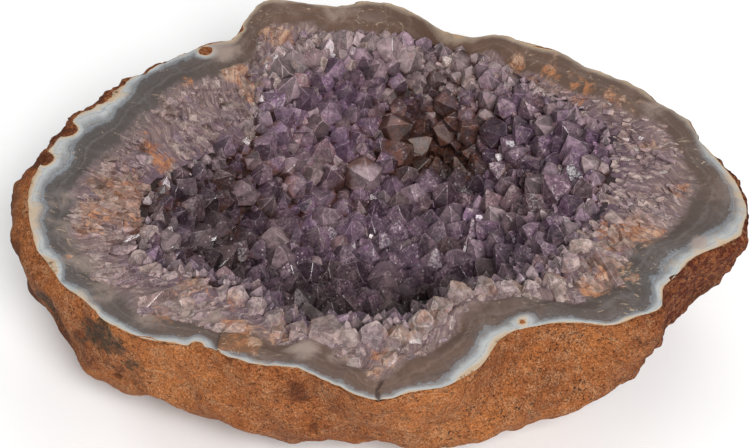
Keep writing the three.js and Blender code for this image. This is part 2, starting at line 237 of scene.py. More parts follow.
def bedNormal(x, y):
    step = 1.5
    dx = (bowlHeight(x + step, y) - bowlHeight(x - step, y)) / (2 * step)
    dy = (bowlHeight(x, y + step) - bowlHeight(x, y - step)) / (2 * step)
    return unit(np.stack([-dx, -dy, np.ones_like(dx)], -1))


def heightAt(x, y, *under):
    return float(bowlHeight(np.array(x), np.array(y), *under))


def normalAt(x, y):
    return bedNormal(np.array([x]), np.array([y]))[0]


def unit(v):
    return v / np.maximum(np.linalg.norm(v, axis=-1, keepdims=True), 1e-9)


def ringPlaces(radius, theta, height):
    return np.stack([radius * np.cos(theta), radius * np.sin(theta), height], -1)


# A closed mesh from rings of points, with a fan at each end. Its four-cornered faces can be split in two.
def closeRings(name, rings, around, ends, split=False):
    faces = []
    for row in range(len(rings) // around - 1):
        for k in range(around):
            a, b = row * around + k, row * around + (k + 1) % around
            if split:
                faces += [[a, b, b + around], [a, b + around, a + around]]
            else:
                faces.append([a, b, b + around, a + around])
    first, last = len(rings), len(rings) - around
    faces += [[first, (k + 1) % around, k] for k in range(around)]
    faces += [[first + 1, last + k, last + (k + 1) % around] for k in range(around)]
    mesh = bpy.data.meshes.new(name)
    mesh.from_pydata((np.vstack([rings, ends]) * mm).tolist(), [], faces)
    return mesh


# A place for each whole number, spread evenly over a field of these half sizes.
def evenPlace(n, halfX, halfY):
    return halfX * (2 * (n * 0.7548776662 % 1) - 1), halfY * (2 * (n * 0.569840291 % 1) - 1)


# Repeatable random numbers for whole-number grid corners.
def gridScatter(cell, seed):
    n = cell.astype(np.int64)
    mixed = n[..., 0] * 73856093 ^ n[..., 1] * 19349663 ^ n[..., 2] * 83492791 ^ (seed * 2654435761)
    mixed = (mixed ^ (mixed >> 13)) * 1274126177 & 0xFFFFFFFF
    mixed = (mixed ^ (mixed >> 16)) * 668265263 & 0xFFFFFFFF
    return ((mixed ^ (mixed >> 15)) & 0xFFFFFF) / 0xFFFFFF


# Soft bumps of about one size, from -1 to 1.
def softNoise(p, size, seed):
    q = p / size
    low = np.floor(q)
    t = q - low
    t = t * t * (3 - 2 * t)
    total = 0
    for corner in np.ndindex(2, 2, 2):
        weight = np.prod(np.where(np.array(corner) == 1, t, 1 - t), axis=-1)
        total = total + weight * gridScatter(low + np.array(corner), seed)
    return 2 * total - 1


def layeredNoise(p, size, seed, layers=4, fade=0.5):
    total, weight = 0, 1.0
    for layer in range(layers):
        total = total + weight * softNoise(p, size / 2**layer, seed + 17 * layer)
        weight *= fade
    return total


# The nearest of the scattered cell middles: distance to it, its random numbers, its place.
def cells(p, size, seed):
    q = p / size
    low = np.floor(q)
    nearest = np.full(len(p), 9.0)
    found = np.zeros((len(p), 3))
    for corner in np.ndindex(3, 3, 3):
        cell = low + np.array(corner) - 1
        middle = cell + np.stack([gridScatter(cell, seed + k) for k in range(3)], -1)
        distance = np.linalg.norm(q - middle, axis=-1)
        closer = distance < nearest
        found = np.where(closer[:, None], middle, found)
        nearest = np.where(closer, distance, nearest)
    own = np.stack([gridScatter(np.floor(found * 64), seed + 7 + k) for k in range(3)], -1)
    return nearest, own, found * size


# Flat broken facets: each cell has its own height and its own tilt.
def facets(p, size, seed, step, tilt):
    own, middle = cells(p, size, seed)[1:]
    lean = tilt * 2 * (own[:, :2] - 0.5)
    return step * 2 * (own[:, 2] - 0.5) + np.sum((p - middle)[:, :2] * lean, axis=1)


# How strongly each point feels a list of round spots: x, y, radius, strength.
def spots(x, y, table):
    total = np.zeros_like(x)
    for cx, cy, radius, strength in table:
        total = np.maximum(total, strength * np.exp(-(((x - cx) ** 2 + (y - cy) ** 2) / radius**2)))
    return total


# The same for each of a list of round blobs: x, y, z, radius, strength.
def blobs(p, table):
    return [strength * np.exp(-np.sum((p - at) ** 2, 1) / radius**2) for *at, radius, strength in table]


def addAttribute(mesh, name, values, domain="POINT"):
    layer = mesh.attributes.new(name, "FLOAT", domain)
    layer.data.foreach_set("value", np.asarray(values, np.float32).ravel())


def linkObject(name, mesh, *materials):
    piece = bpy.data.objects.new(name, mesh)
    bpy.context.scene.collection.objects.link(piece)
    for material in materials:
        mesh.materials.append(material)
    return piece


print("shaders: shared effects")


# Small helpers for node trees.
def addNode(tree, kind, **values):
    node = tree.nodes.new("ShaderNode" + kind)
    for key, value in values.items():
        setattr(node, key, value)
    return node


# Plugs a socket into another, or gives it a plain number or colour.
def plug(tree, source, target):
    if isinstance(source, (int, float)):
        target.default_value = source
    elif isinstance(source, (tuple, list)):
        target.default_value = (*source, 1)
    else:
        tree.links.new(source, target)


def calculate(tree, operation, *terms, clamp=False):
    node = addNode(tree, "Math", operation=operation, use_clamp=clamp)
    for term, socket in zip(terms, node.inputs):
        plug(tree, term, socket)
    return node.outputs[0]


def multiply(tree, first, second):
    return calculate(tree, "MULTIPLY", first, second)


def add(tree, first, second, clamp=False):
    return calculate(tree, "ADD", first, second, clamp=clamp)


# A smooth step from one range of values to another.
def remap(tree, value, fromLow, fromHigh, toLow=0.0, toHigh=1.0):
    node = addNode(tree, "MapRange", interpolation_type="SMOOTHSTEP")
    names = ("Value", "From Min", "From Max", "To Min", "To Max")
    for name, source in zip(names, (value, fromLow, fromHigh, toLow, toHigh)):
        plug(tree, source, node.inputs[name])
    return node.outputs["Result"]


def blendColors(tree, factor, first, second, mode="MIX"):
    node = addNode(tree, "Mix", data_type="RGBA", blend_type=mode)
    for number, source in ((0, factor), (6, first), (7, second)):
        plug(tree, source, node.inputs[number])
    return node.outputs[2]


# Tints a colour where a mask is high. The amount is the most that shows, or four ends that the mask is
# remapped between.
def tint(tree, color, mask, amount, other):
    strength = remap(tree, mask, *amount) if isinstance(amount, tuple) else multiply(tree, mask, amount)
    return blendColors(tree, strength, color, other)


# Darkens and lightens a colour by a value that is remapped first.
def shadeBy(tree, color, value, *ends):
    return blendColors(tree, 1.0, color, remap(tree, value, *ends), "MULTIPLY")


def objectPlace(tree):
    return addNode(tree, "TexCoord").outputs["Object"]


# The place turned and squeezed, so that what is drawn there comes out long and slanted.
def slantedPlace(tree, rotation, scale):
    node = addNode(tree, "Mapping")
    node.inputs["Rotation"].default_value = rotation
    node.inputs["Scale"].default_value = scale
    plug(tree, objectPlace(tree), node.inputs["Vector"])
    return node.outputs[0]


def readAttribute(tree, name):
    return addNode(tree, "Attribute", attribute_name=name).outputs["Fac"]


def noiseTexture(tree, place, scale, detail=4.0, roughness=0.55, distortion=0.0):
    node = addNode(tree, "TexNoise")
    names = ("Vector", "Scale", "Detail", "Roughness", "Distortion")
    for name, source in zip(names, (place, scale, detail, roughness, distortion)):
        plug(tree, source, node.inputs[name])
    return node.outputs["Fac"]


# A new group with its sockets: a name and a first value for each input, and a mask that comes out.
def startGroup(name, inputs):
    group = bpy.data.node_groups.new(name, "ShaderNodeTree")
    for label, default in inputs:
        socket = group.interface.new_socket(label, in_out="INPUT", socket_type="NodeSocketFloat")
        socket.default_value = default
    group.interface.new_socket("Mask", in_out="OUTPUT", socket_type="NodeSocketFloat")
    given, result = group.nodes.new("NodeGroupInput"), group.nodes.new("NodeGroupOutput")
    return group, given.outputs, result.inputs["Mask"]


# Places a group in a tree with its own values, and gives its mask.
def placeGroup(tree, group, **values):
    node = tree.nodes.new("ShaderNodeGroup")
    node.node_tree = group
    for name, value in values.items():
        plug(tree, value, node.inputs[name])
    return node.outputs["Mask"]


# Mottled: cloudy patches with finer grain in them. Scale is in patches per metre.
def makeMottleGroup():
    group, given, mask = startGroup("mottle", [("Scale", 60), ("Grain", 0.5), ("Contrast", 1)])
    place = objectPlace(group)
    cloud = noiseTexture(group, place, given["Scale"], 5, 0.6, 0.4)
    fine = noiseTexture(group, place, multiply(group, given["Scale"], 9), 3, 0.7)
    grain = multiply(group, calculate(group, "SUBTRACT", fine, 0.5), given["Grain"])
    both = add(group, calculate(group, "SUBTRACT", cloud, 0.5), grain)
    stretched = multiply(group, both, multiply(group, given["Contrast"], 2.2))
    plug(group, add(group, stretched, 0.5, clamp=True), mask)
    return group


# Specks: small separate dots, dark or bright, of uneven size.
def makeSpeckGroup():
    group, given, mask = startGroup("specks", [("Scale", 400), ("Amount", 0.3), ("Sharpness", 0.5)])
    place = objectPlace(group)
    dots = addNode(group, "TexVoronoi", feature="F1")
    plug(group, place, dots.inputs["Vector"])
    plug(group, given["Scale"], dots.inputs["Scale"])
    chance = addNode(group, "SeparateColor")
    plug(group, dots.outputs["Color"], chance.inputs[0])
    radius = multiply(group, chance.outputs[0], multiply(group, given["Amount"], 0.9))
    edge = calculate(group, "SUBTRACT", radius, dots.outputs["Distance"])
    chosen = calculate(group, "LESS_THAN", chance.outputs[1], add(group, given["Amount"], 0.15))
    soft = calculate(group, "MULTIPLY_ADD", given["Sharpness"], -0.18, 0.2)
    dot = remap(group, edge, 0.0, soft)
    plug(group, multiply(group, dot, chosen), mask)
    return group


# Fine layers that follow the growth of the stone, a little wavy.
def makeLayersGroup():
    group, given, mask = startGroup("growthLayers", [("Growth", 0), ("Count", 14), ("Waviness", 1)])
    place = objectPlace(group)
    wander = noiseTexture(group, place, 160, 3)
    bent = multiply(group, calculate(group, "SUBTRACT", wander, 0.5), given["Waviness"])
    along = add(group, multiply(group, given["Growth"], given["Count"]), bent)
    wave = calculate(group, "SINE", multiply(group, along, 6.2832))
    slow = calculate(group, "SINE", multiply(group, along, 2.37))
    both = add(group, multiply(group, wave, 0.25), multiply(group, slow, 0.25))
    plug(group, add(group, both, 0.5, clamp=True), mask)
    return group


# Iron stain: an amount from a mesh attribute, broken up by noise so that its edge is ragged.
def makeStainGroup():
    group, given, mask = startGroup("ironStain", [("Amount", 0), ("Scale", 250), ("Ragged", 0.8)])
    place = objectPlace(group)
    noise = noiseTexture(group, place, given["Scale"], 5, 0.65, 0.6)
    torn = multiply(group, calculate(group, "SUBTRACT", noise, 0.5), given["Ragged"])
    level = add(group, given["Amount"], multiply(group, torn, 2))
    shown = remap(group, level, 0.32, 0.72)
    present = remap(group, given["Amount"], 0.02, 0.2)
    plug(group, multiply(group, shown, present), mask)
    return group


# Thin threads that run in from the rim to the middle, as broken columns of quartz do.
def makeFibreGroup():
    group, given, mask = startGroup("fibres", [("Width", 800), ("Length", 80), ("Swirl", 0.55)])
    place = objectPlace(group)
    split = addNode(group, "SeparateXYZ")
    plug(group, place, split.inputs[0])
    turn = calculate(group, "ARCTAN2", split.outputs[1], split.outputs[0])
    flat = addNode(group, "CombineXYZ")
    plug(group, split.outputs[0], flat.inputs[0])
    plug(group, split.outputs[1], flat.inputs[1])
    reach = addNode(group, "VectorMath", operation="LENGTH")
    plug(group, flat.outputs[0], reach.inputs[0])
    wander = noiseTexture(group, place, 70, 1)
    swirl = multiply(group, reach.outputs["Value"], given["Swirl"])
    across = calculate(group, "MULTIPLY_ADD", turn, 0.08, swirl)
    bent = calculate(group, "MULTIPLY_ADD", wander, 0.014, across)
    threads = addNode(group, "CombineXYZ")
    plug(group, multiply(group, bent, given["Width"]), threads.inputs[0])
    plug(group, multiply(group, reach.outputs["Value"], given["Length"]), threads.inputs[1])
    plug(group, noiseTexture(group, threads.outputs[0], 1.0, 4, 0.65), mask)
    return group


mottle = makeMottleGroup()
fibres = makeFibreGroup()
specks = makeSpeckGroup()
growthLayers = makeLayersGroup()
ironStain = makeStainGroup()


def startMaterial(name):
    material = bpy.data.materials.new(name)
    material.use_nodes = True
    tree = material.node_tree
    tree.nodes.clear()
    shader = addNode(tree, "BsdfPrincipled")
    out = addNode(tree, "OutputMaterial")
    plug(tree, shader.outputs[0], out.inputs["Surface"])
    return material, tree, shader


def addBump(tree, shader, height, strength, distance):
    node = addNode(tree, "Bump")
    for name, source in (("Strength", strength), ("Distance", distance), ("Height", height)):
        plug(tree, source, node.inputs[name])
    plug(tree, node.outputs[0], shader.inputs["Normal"])


rindFinish = {
    "earth": (0.27, 0.08, 0.026),
    "ochre": (0.47, 0.165, 0.05),
    # umber is the brown patches' colour, and also the painted shade in the rind's pits and low grains
    "umber": (0.11, 0.033, 0.014),
    "darkRed": (0.13, 0.03, 0.015),
    "sand": (0.56, 0.33, 0.18),
    "pore": (0.045, 0.018, 0.011),
    "lichen": (0.05, 0.04, 0.027),
    "grainDepth": 0.0009,
    "dustAmount": 0.42,  # of the sand in pale patches
    "brownAmount": 0.82,  # of the umber in the brown patches
    "poreScale": 1400,
    "grainScale": 2000,
    "crackScale": 55,
    "crackSway": 0.02,
    "scrapeTurn": 0.35,
    "scrapeLength": 7,
}


# Thin winding lines between large cells.
def crackLines(tree, place, scale, amount):
    sway = addNode(tree, "TexNoise")
    swayed = addNode(tree, "VectorMath", operation="SCALE")
    bent = addNode(tree, "VectorMath", operation="ADD")
    cracks = addNode(tree, "TexVoronoi", feature="DISTANCE_TO_EDGE")
    for source, target in (
        (place, sway.inputs["Vector"]), (60, sway.inputs["Scale"]), (4, sway.inputs["Detail"]),
        (sway.outputs["Color"], swayed.inputs[0]), (amount, swayed.inputs["Scale"]),
        (place, bent.inputs[0]), (swayed.outputs[0], bent.inputs[1]),
        (bent.outputs[0], cracks.inputs["Vector"]), (scale, cracks.inputs["Scale"]),
    ):
        plug(tree, source, target)
    return remap(tree, cracks.outputs["Distance"], 0.02, 0.0)


# The rind's colour and its height for the bump.
def paintRind(tree, look):
    place = objectPlace(tree)
    broad = placeGroup(tree, mottle, Scale=30, Grain=0.5, Contrast=1.35)
    blotch = placeGroup(tree, mottle, Scale=90, Grain=0.8, Contrast=1.4)
    color = blendColors(tree, broad, look["earth"], look["ochre"])
    color = tint(tree, color, blotch, (0.58, 1.05, 0, 0.5), look["umber"])
    dust = placeGroup(tree, mottle, Scale=260, Grain=1.5, Contrast=1.5)
    color = tint(tree, color, dust, (0.66, 1.0, 0, look["dustAmount"]), look["sand"])
    crumbly = readAttribute(tree, "crumbly")
    gravel = noiseTexture(tree, place, 700, 3, 0.6)
    rusty = multiply(tree, crumbly, remap(tree, gravel, 0.6, 0.4, 0.25, 0.95))
    color = blendColors(tree, rusty, color, look["darkRed"])
    # brown patches; the broad ones at the far left darken that whole side of the rind
    brown = placeGroup(tree, ironStain, Amount=readAttribute(tree, "brown"), Scale=120, Ragged=0.7)
    color = tint(tree, color, brown, look["brownAmount"], look["umber"])
    patch = placeGroup(tree, ironStain, Amount=readAttribute(tree, "patch"), Scale=190, Ragged=1.0)
    patch = multiply(tree, patch, remap(tree, gravel, 0.35, 0.62, 0.5, 0.95))
    color = blendColors(tree, patch, color, look["lichen"])
    pores = remap(tree, noiseTexture(tree, place, look["poreScale"], 2, 0.6, 1.2), 0.44, 0.33)
    where = remap(tree, noiseTexture(tree, place, 110, 3), 0.35, 0.65, 0.35, 1)
    color = blendColors(tree, multiply(tree, pores, where), color, look["pore"])
    grain = noiseTexture(tree, place, look["grainScale"], 4, 0.75)
    color = shadeBy(tree, color, grain, 0.3, 0.7, 0.52, 1.5)
    line = crackLines(tree, place, look["crackScale"], look["crackSway"])
    scratch = multiply(tree, line, remap(tree, broad, 0.5, 0.75, 0, 0.35))
    stretched = slantedPlace(tree, (0, look["scrapeTurn"], 0), (1, 1, look["scrapeLength"]))
    scrape = remap(tree, noiseTexture(tree, stretched, 130, 4, 0.7, 0.4), 0.6, 0.68)
    scraped = multiply(tree, scrape, remap(tree, noiseTexture(tree, place, 38, 2), 0.5, 0.62, 0, 0.6))
    color = blendColors(tree, calculate(tree, "MAXIMUM", scratch, scraped), color, look["sand"])
    # painted shade: umber in the rind's pits and low grains
    color = tint(tree, color, readAttribute(tree, "creviceShade"), (0.1, 1.0, 0, 0.8), look["umber"])
    height = add(tree, add(tree, grain, multiply(tree, blotch, 0.5)), multiply(tree, pores, -0.6))
    return color, height


agateFinish = {
    "cream": (0.5, 0.35, 0.21),
    "white": (0.42, 0.43, 0.42),
    "bluish": (0.25, 0.28, 0.31),
    "beige": (0.42, 0.33, 0.24),
    "slate": (0.074, 0.062, 0.057),
    "brownGrey": (0.12, 0.068, 0.047),
    "haze": (0.22, 0.15, 0.12),
    "coolHaze": (0.17, 0.155, 0.155),
    "quartz": (0.2, 0.135, 0.125),
    "lilac": (0.125, 0.08, 0.105),
    "milk": (0.34, 0.26, 0.22),
    "pale": (0.42, 0.32, 0.28),
    "iron": (0.44, 0.19, 0.085),
    "deepIron": (0.2, 0.065, 0.028),
    "flake": (0.42, 0.31, 0.22),
    "depth": (0.09, 0.058, 0.062),
    "glint": (0.6, 0.49, 0.42),
    "peach": (0.5, 0.33, 0.235),
    "smokyBrown": (0.17, 0.08, 0.04),
    # seam: the dark colour of the painted shade in the broken face's low steps and in the crack
    "seam": (0.05, 0.03, 0.022),
    "creamAmount": 0.8,  # beside the rind
    "milkAmount": 0.7,
    "smokeAmount": 0.85,
    "flakeAmount": 0.7,
    "flakeTurn": 0.6,
}


# The broken face's colour, dullness and height, from the rind inwards. growth is 0 at the rind, 1 where the
# white ends, 2 where the grey ends and 3 at the hollow.
def paintAgate(tree, look, growth):
    place = objectPlace(tree)
    cloudy = placeGroup(tree, mottle, Scale=45, Grain=0.25, Contrast=1)
    fine = placeGroup(tree, mottle, Scale=300, Grain=1.0, Contrast=1.2)
    cool = calculate(tree, "MULTIPLY_ADD", cloudy, -0.5, readAttribute(tree, "cool"))
    grey = blendColors(tree, remap(tree, cool, -0.4, 0.9), look["brownGrey"], look["slate"])
    haze = blendColors(tree, remap(tree, cool, -0.2, 0.6), look["haze"], look["coolHaze"])
    layers = placeGroup(tree, growthLayers, Growth=growth, Count=4, Waviness=0.4)
    grey = tint(tree, grey, layers, (0.45, 1, 0, 0.3), haze)
    streak = placeGroup(tree, fibres, Width=420, Length=60, Swirl=0.1)
    grey = tint(tree, grey, streak, (0.5, 0.7, 0, 0.25), haze)
    grey = tint(tree, grey, cloudy, (0.55, 0.95, 0, 0.5), haze)
    nearWhite = remap(tree, growth, 1.3, 0.9)
    thinLayers = placeGroup(tree, growthLayers, Growth=growth, Count=9, Waviness=0.3)
    bluish = multiply(tree, nearWhite, remap(tree, thinLayers, 0.2, 0.9, 0.1, 0.75))
    whiteness = readAttribute(tree, "whiteness")
    bluish = multiply(tree, bluish, remap(tree, whiteness, 0.6, 0.85))
    grey = blendColors(tree, multiply(tree, bluish, whiteness), grey, look["bluish"])
    inQuartz = remap(tree, growth, 1.9, 2.2)
    quartz = blendColors(tree, remap(tree, growth, 2.2, 3.0), look["quartz"], look["lilac"])
    fibre = placeGroup(tree, fibres, Width=1000, Length=230)
    quartz = tint(tree, quartz, fine, (0.3, 0.8, 0, 0.5), look["lilac"])
    quartz = tint(tree, quartz, fibre, (0.49, 0.38, 0, 0.65), look["depth"])
    quartz = tint(tree, quartz, fibre, (0.53, 0.66, 0, 0.6), look["pale"])
    thread = placeGroup(tree, fibres, Width=2300, Length=700)
    quartz = tint(tree, quartz, thread, (0.6, 0.7, 0, 0.5), look["glint"])
    color = blendColors(tree, inQuartz, grey, quartz)
    inWhite = multiply(tree, remap(tree, growth, 0.0, 0.18), remap(tree, growth, 1.05, 0.35))
    layered = remap(tree, thinLayers, 0.35, 0.95, 0, 0.7)
    whiteColor = blendColors(tree, layered, look["white"], look["bluish"])
    whiteColor = tint(tree, whiteColor, cloudy, (0.5, 0.85, 0, 0.7), look["cream"])
    whiteColor = tint(tree, whiteColor, whiteness, (0.8, 0.62, 0, 0.9), look["beige"])
    color = blendColors(tree, multiply(tree, inWhite, whiteness), color, whiteColor)
    color = tint(tree, color, remap(tree, growth, 0.4, 0.05), look["creamAmount"], look["cream"])
    milk = placeGroup(tree, ironStain, Amount=readAttribute(tree, "milk"), Scale=130, Ragged=0.5)
    color = tint(tree, color, milk, look["milkAmount"], look["milk"])
    brown = multiply(tree, readAttribute(tree, "brown"), remap(tree, growth, 0.1, 0.5))
    smoky = placeGroup(tree, ironStain, Amount=brown, Scale=150, Ragged=0.6)
    color = tint(tree, color, smoky, look["smokeAmount"], look["smokyBrown"])
    stain = placeGroup(tree, ironStain, Amount=readAttribute(tree, "iron"), Scale=260, Ragged=1.3)
    ironColor = blendColors(tree, remap(tree, cloudy, 0.35, 0.65), look["iron"], look["peach"])
    ironColor = tint(tree, ironColor, fine, (0.45, 0.9, 0, 0.9), look["deepIron"])
    veined = remap(tree, fibre, 0.38, 0.58, 0.3, 0.9)
    color = blendColors(tree, multiply(tree, stain, veined), color, ironColor)
    turned = slantedPlace(tree, (0, 0, look["flakeTurn"]), (1, 3, 1))
    sliver = noiseTexture(tree, turned, 150, 3, 0.7, 2.5)
    where = noiseTexture(tree, place, 55, 2)
    flake = multiply(tree, remap(tree, sliver, 0.61, 0.64), remap(tree, where, 0.43, 0.56))
    inGrey = multiply(tree, remap(tree, growth, 0.8, 1.1), remap(tree, growth, 2.3, 2.0))
    color = tint(tree, color, multiply(tree, flake, inGrey), look["flakeAmount"], look["flake"])
    # painted shade: the broken face darkened in its low steps and in the crack
    color = tint(tree, color, readAttribute(tree, "creviceShade"), (0.15, 1.0, 0, 0.75), look["seam"])
    dull = calculate(tree, "MAXIMUM", stain, multiply(tree, inWhite, 0.4))
    dull = add(tree, dull, remap(tree, cloudy, 0, 1, 0, 0.25), clamp=True)
    ripples = noiseTexture(tree, place, 380, 5, 0.6, 0.5)
    height = add(tree, ripples, multiply(tree, flake, 0.35))
    return color, dull, height


def makeStoneMaterial(rindLook, agateLook):
    material, tree, shader = startMaterial("rindAndAgate")
    place = objectPlace(tree)
    ragged = calculate(tree, "SUBTRACT", noiseTexture(tree, place, 420, 5, 0.7, 0.6), 0.5)
    growth = calculate(tree, "MULTIPLY_ADD", ragged, 0.5, readAttribute(tree, "growth"))
    onRind = remap(tree, growth, 0.05, -0.03)
    rindColor, rindHeight = paintRind(tree, rindLook)
    agateColor, dull, agateHeight = paintAgate(tree, agateLook, growth)
    plug(tree, blendColors(tree, onRind, agateColor, rindColor), shader.inputs["Base Color"])
    rough = remap(tree, dull, 0, 1, 0.36, 0.7)
    rough = calculate(tree, "MAXIMUM", rough, multiply(tree, onRind, 0.93))
    plug(tree, rough, shader.inputs["Roughness"])
    shine = multiply(tree, remap(tree, dull, 0, 0.8, 0.3, 0.0), remap(tree, onRind, 1, 0, 0, 1))
    plug(tree, multiply(tree, shine, 0.4), shader.inputs["Coat Weight"])
    shader.inputs["Coat Roughness"].default_value = 0.25
    shader.inputs["Specular IOR Level"].default_value = 0.3
    shader.inputs["IOR"].default_value = 1.5
    rindPart = multiply(tree, rindHeight, onRind)
    agatePart = multiply(tree, agateHeight, remap(tree, onRind, 1, 0, 0, 0.35))
    addBump(tree, shader, add(tree, rindPart, agatePart), 0.9, rindLook["grainDepth"])
    return material


quartzBend = 1.54  # how strongly light is bent in quartz

shardFinish = {
    "clear": (0.5, 0.33, 0.285),
    "lilac": (0.43, 0.29, 0.37),
    "milky": (0.83, 0.64, 0.58),
    "iron": (0.52, 0.25, 0.125),
    "peach": (0.68, 0.48, 0.36),
    "deepIron": (0.28, 0.1, 0.045),
    # edge: the pale colour on the thin flats along the edges, for chipped edges and painted edge highlights
    "edge": (0.8, 0.7, 0.66),
    "edgeHighlightAmount": 0.4,
    "paleAmount": 0.6,
    "transmission": 0.62,
}


def makeShardMaterial(look):
    material, tree, shader = startMaterial("brokenQuartz")
    tone = readAttribute(tree, "tone")
    color = blendColors(tree, tone, look["lilac"], look["clear"])
    veil = placeGroup(tree, mottle, Scale=190, Grain=0.45, Contrast=1.6)
    color = tint(tree, color, veil, (0.5, 0.95, 0, 0.8), look["milky"])
    fibre = placeGroup(tree, fibres, Width=1300, Length=260)
    color = tint(tree, color, fibre, (0.5, 0.7, 0, 0.7), look["milky"])
    color = tint(tree, color, readAttribute(tree, "pale"), look["paleAmount"], look["milky"])
    stain = placeGroup(tree, ironStain, Amount=readAttribute(tree, "iron"), Scale=210, Ragged=0.85)
    deep = placeGroup(tree, mottle, Scale=320, Grain=0.8, Contrast=1.3)
    ironColor = blendColors(tree, remap(tree, veil, 0.3, 0.7), look["iron"], look["peach"])
    ironColor = tint(tree, ironColor, deep, (0.45, 0.9, 0, 0.85), look["deepIron"])
    veined = multiply(tree, stain, remap(tree, fibre, 0.3, 0.7, 0.95, 0.3))
    color = blendColors(tree, veined, color, ironColor)
    # chipped edges, and painted highlights along the edges
    color = tint(tree, color, readAttribute(tree, "edge"), look["edgeHighlightAmount"], look["edge"])
    color = shadeBy(tree, color, readAttribute(tree, "facet"), 0, 1, 0.7, 1.25)
    place = objectPlace(tree)
    flaws = noiseTexture(tree, place, 520, 4, 0.65, 0.8)
    color = shadeBy(tree, color, flaws, 0.3, 0.7, 0.55, 1.4)
    plug(tree, color, shader.inputs["Base Color"])
    rough = add(tree, remap(tree, veil, 0, 1, 0.06, 0.35), multiply(tree, stain, 0.3))
    plug(tree, rough, shader.inputs["Roughness"])
    shader.inputs["Transmission Weight"].default_value = look["transmission"]
    shader.inputs["IOR"].default_value = quartzBend
    addBump(tree, shader, noiseTexture(tree, place, 700, 5, 0.65, 1.0), 0.3, 0.0003)
    return material


amethystFinish = {
    "purple": (0.49, 0.305, 0.465),
    "violet": (0.17, 0.09, 0.175),
    "rose": (0.42, 0.24, 0.21),
    # a dark smoky tint, which is also painted shade on the deep floor and in the recess at the back
    "smokeAndShade": (0.051, 0.032, 0.032),
    "frost": (0.69, 0.54, 0.52),
    "iron": (0.26, 0.09, 0.045),
    # edge: the pale colour on the thin flats along the edges, for chipped edges and painted edge highlights
    "edge": (0.75, 0.62, 0.63),
    "roseAmount": 0.7,
    # how much of that dark smoky tint and painted shade shows
    "smokeAmount": 0.88,
    # of the pale specks, which are dust and painted glints
    "dustAmount": 0.75,
    "ironAmount": 0.8,
    "edgeHighlightAmount": 0.12,
    "transmission": 0.62,
    "absorbed": (0.74, 0.52, 0.7),
    "density": 110.0,
}


def makeAmethystMaterial(look):
    material, tree, shader = startMaterial("amethyst")
    place = objectPlace(tree)
    tone, rise, pale, smokeAndShade = (readAttribute(tree, name) for name in ("tone", "rise", "pale", "smokeAndShade"))
    zones = placeGroup(tree, growthLayers, Growth=rise, Count=2.3, Waviness=1.6)
    shade = add(tree, multiply(tree, tone, 0.6), multiply(tree, zones, 0.5))
    color = blendColors(tree, shade, look["violet"], look["purple"])
    color = tint(tree, color, readAttribute(tree, "warm"), look["roseAmount"], look["rose"])
    # painted shade and smoky tint: the deep floor and the back recess darkened
    color = tint(tree, color, smokeAndShade, look["smokeAmount"], look["smokeAndShade"])
    veil = placeGroup(tree, mottle, Scale=170, Grain=1.3, Contrast=1.7)
    tip = multiply(tree, remap(tree, rise, 0.5, 1.3), 0.25)
    cloud = multiply(tree, remap(tree, veil, 0.45, 1.0), add(tree, tip, 0.3))
    cloud = calculate(tree, "MAXIMUM", cloud, multiply(tree, pale, 0.8))
    # less frost where that painted shade is
    cloud = multiply(tree, cloud, remap(tree, smokeAndShade, 0.3, 1.0, 1, 0.45))
    color = blendColors(tree, cloud, color, look["frost"])
    # pale specks: dust, and painted glints
    dust = placeGroup(tree, specks, Scale=800, Amount=0.4, Sharpness=0.5)
    color = tint(tree, color, dust, look["dustAmount"], look["edge"])
    low = remap(tree, rise, 0.9, -0.1)
    amount = multiply(tree, readAttribute(tree, "iron"), calculate(tree, "MULTIPLY_ADD", low, 0.75, 0.42))
    stain = placeGroup(tree, ironStain, Amount=amount, Scale=260, Ragged=0.6)
    color = tint(tree, color, stain, look["ironAmount"], look["iron"])
    # chipped edges, and painted highlights along the edges
    color = tint(tree, color, readAttribute(tree, "edge"), look["edgeHighlightAmount"], look["edge"])
    flaws = noiseTexture(tree, place, 420, 4, 0.65, 0.8)
    color = shadeBy(tree, color, flaws, 0.3, 0.7, 0.6, 1.35)
    color = shadeBy(tree, color, readAttribute(tree, "facet"), 0, 1, 0.5, 1.55)
    # painted shade: each crystal darker towards its root and on the bed between crystals, a little lighter
    # at its tip
    color = shadeBy(tree, color, rise, -0.1, 1.0, 0.32, 1.07)
    # more painted shade in the back recess and on the front floor, where the spots are strongest
    color = shadeBy(tree, color, smokeAndShade, 0.9, 1.4, 1, 0.62)
    plug(tree, color, shader.inputs["Base Color"])
    rough = add(tree, remap(tree, veil, 0.2, 1, 0.05, 0.24), multiply(tree, stain, 0.25))
    plug(tree, rough, shader.inputs["Roughness"])
    shader.inputs["Transmission Weight"].default_value = look["transmission"]
    shader.inputs["IOR"].default_value = quartzBend
    inside = addNode(tree, "VolumeAbsorption")
    inside.inputs["Color"].default_value = (*look["absorbed"], 1)
    inside.inputs["Density"].default_value = look["density"]
    plug(tree, inside.outputs[0], tree.nodes["Material Output"].inputs["Volume"])
    addBump(tree, shader, flaws, 0.012, 0.00025)
    return material


print("stone: rind, agate and broken face")

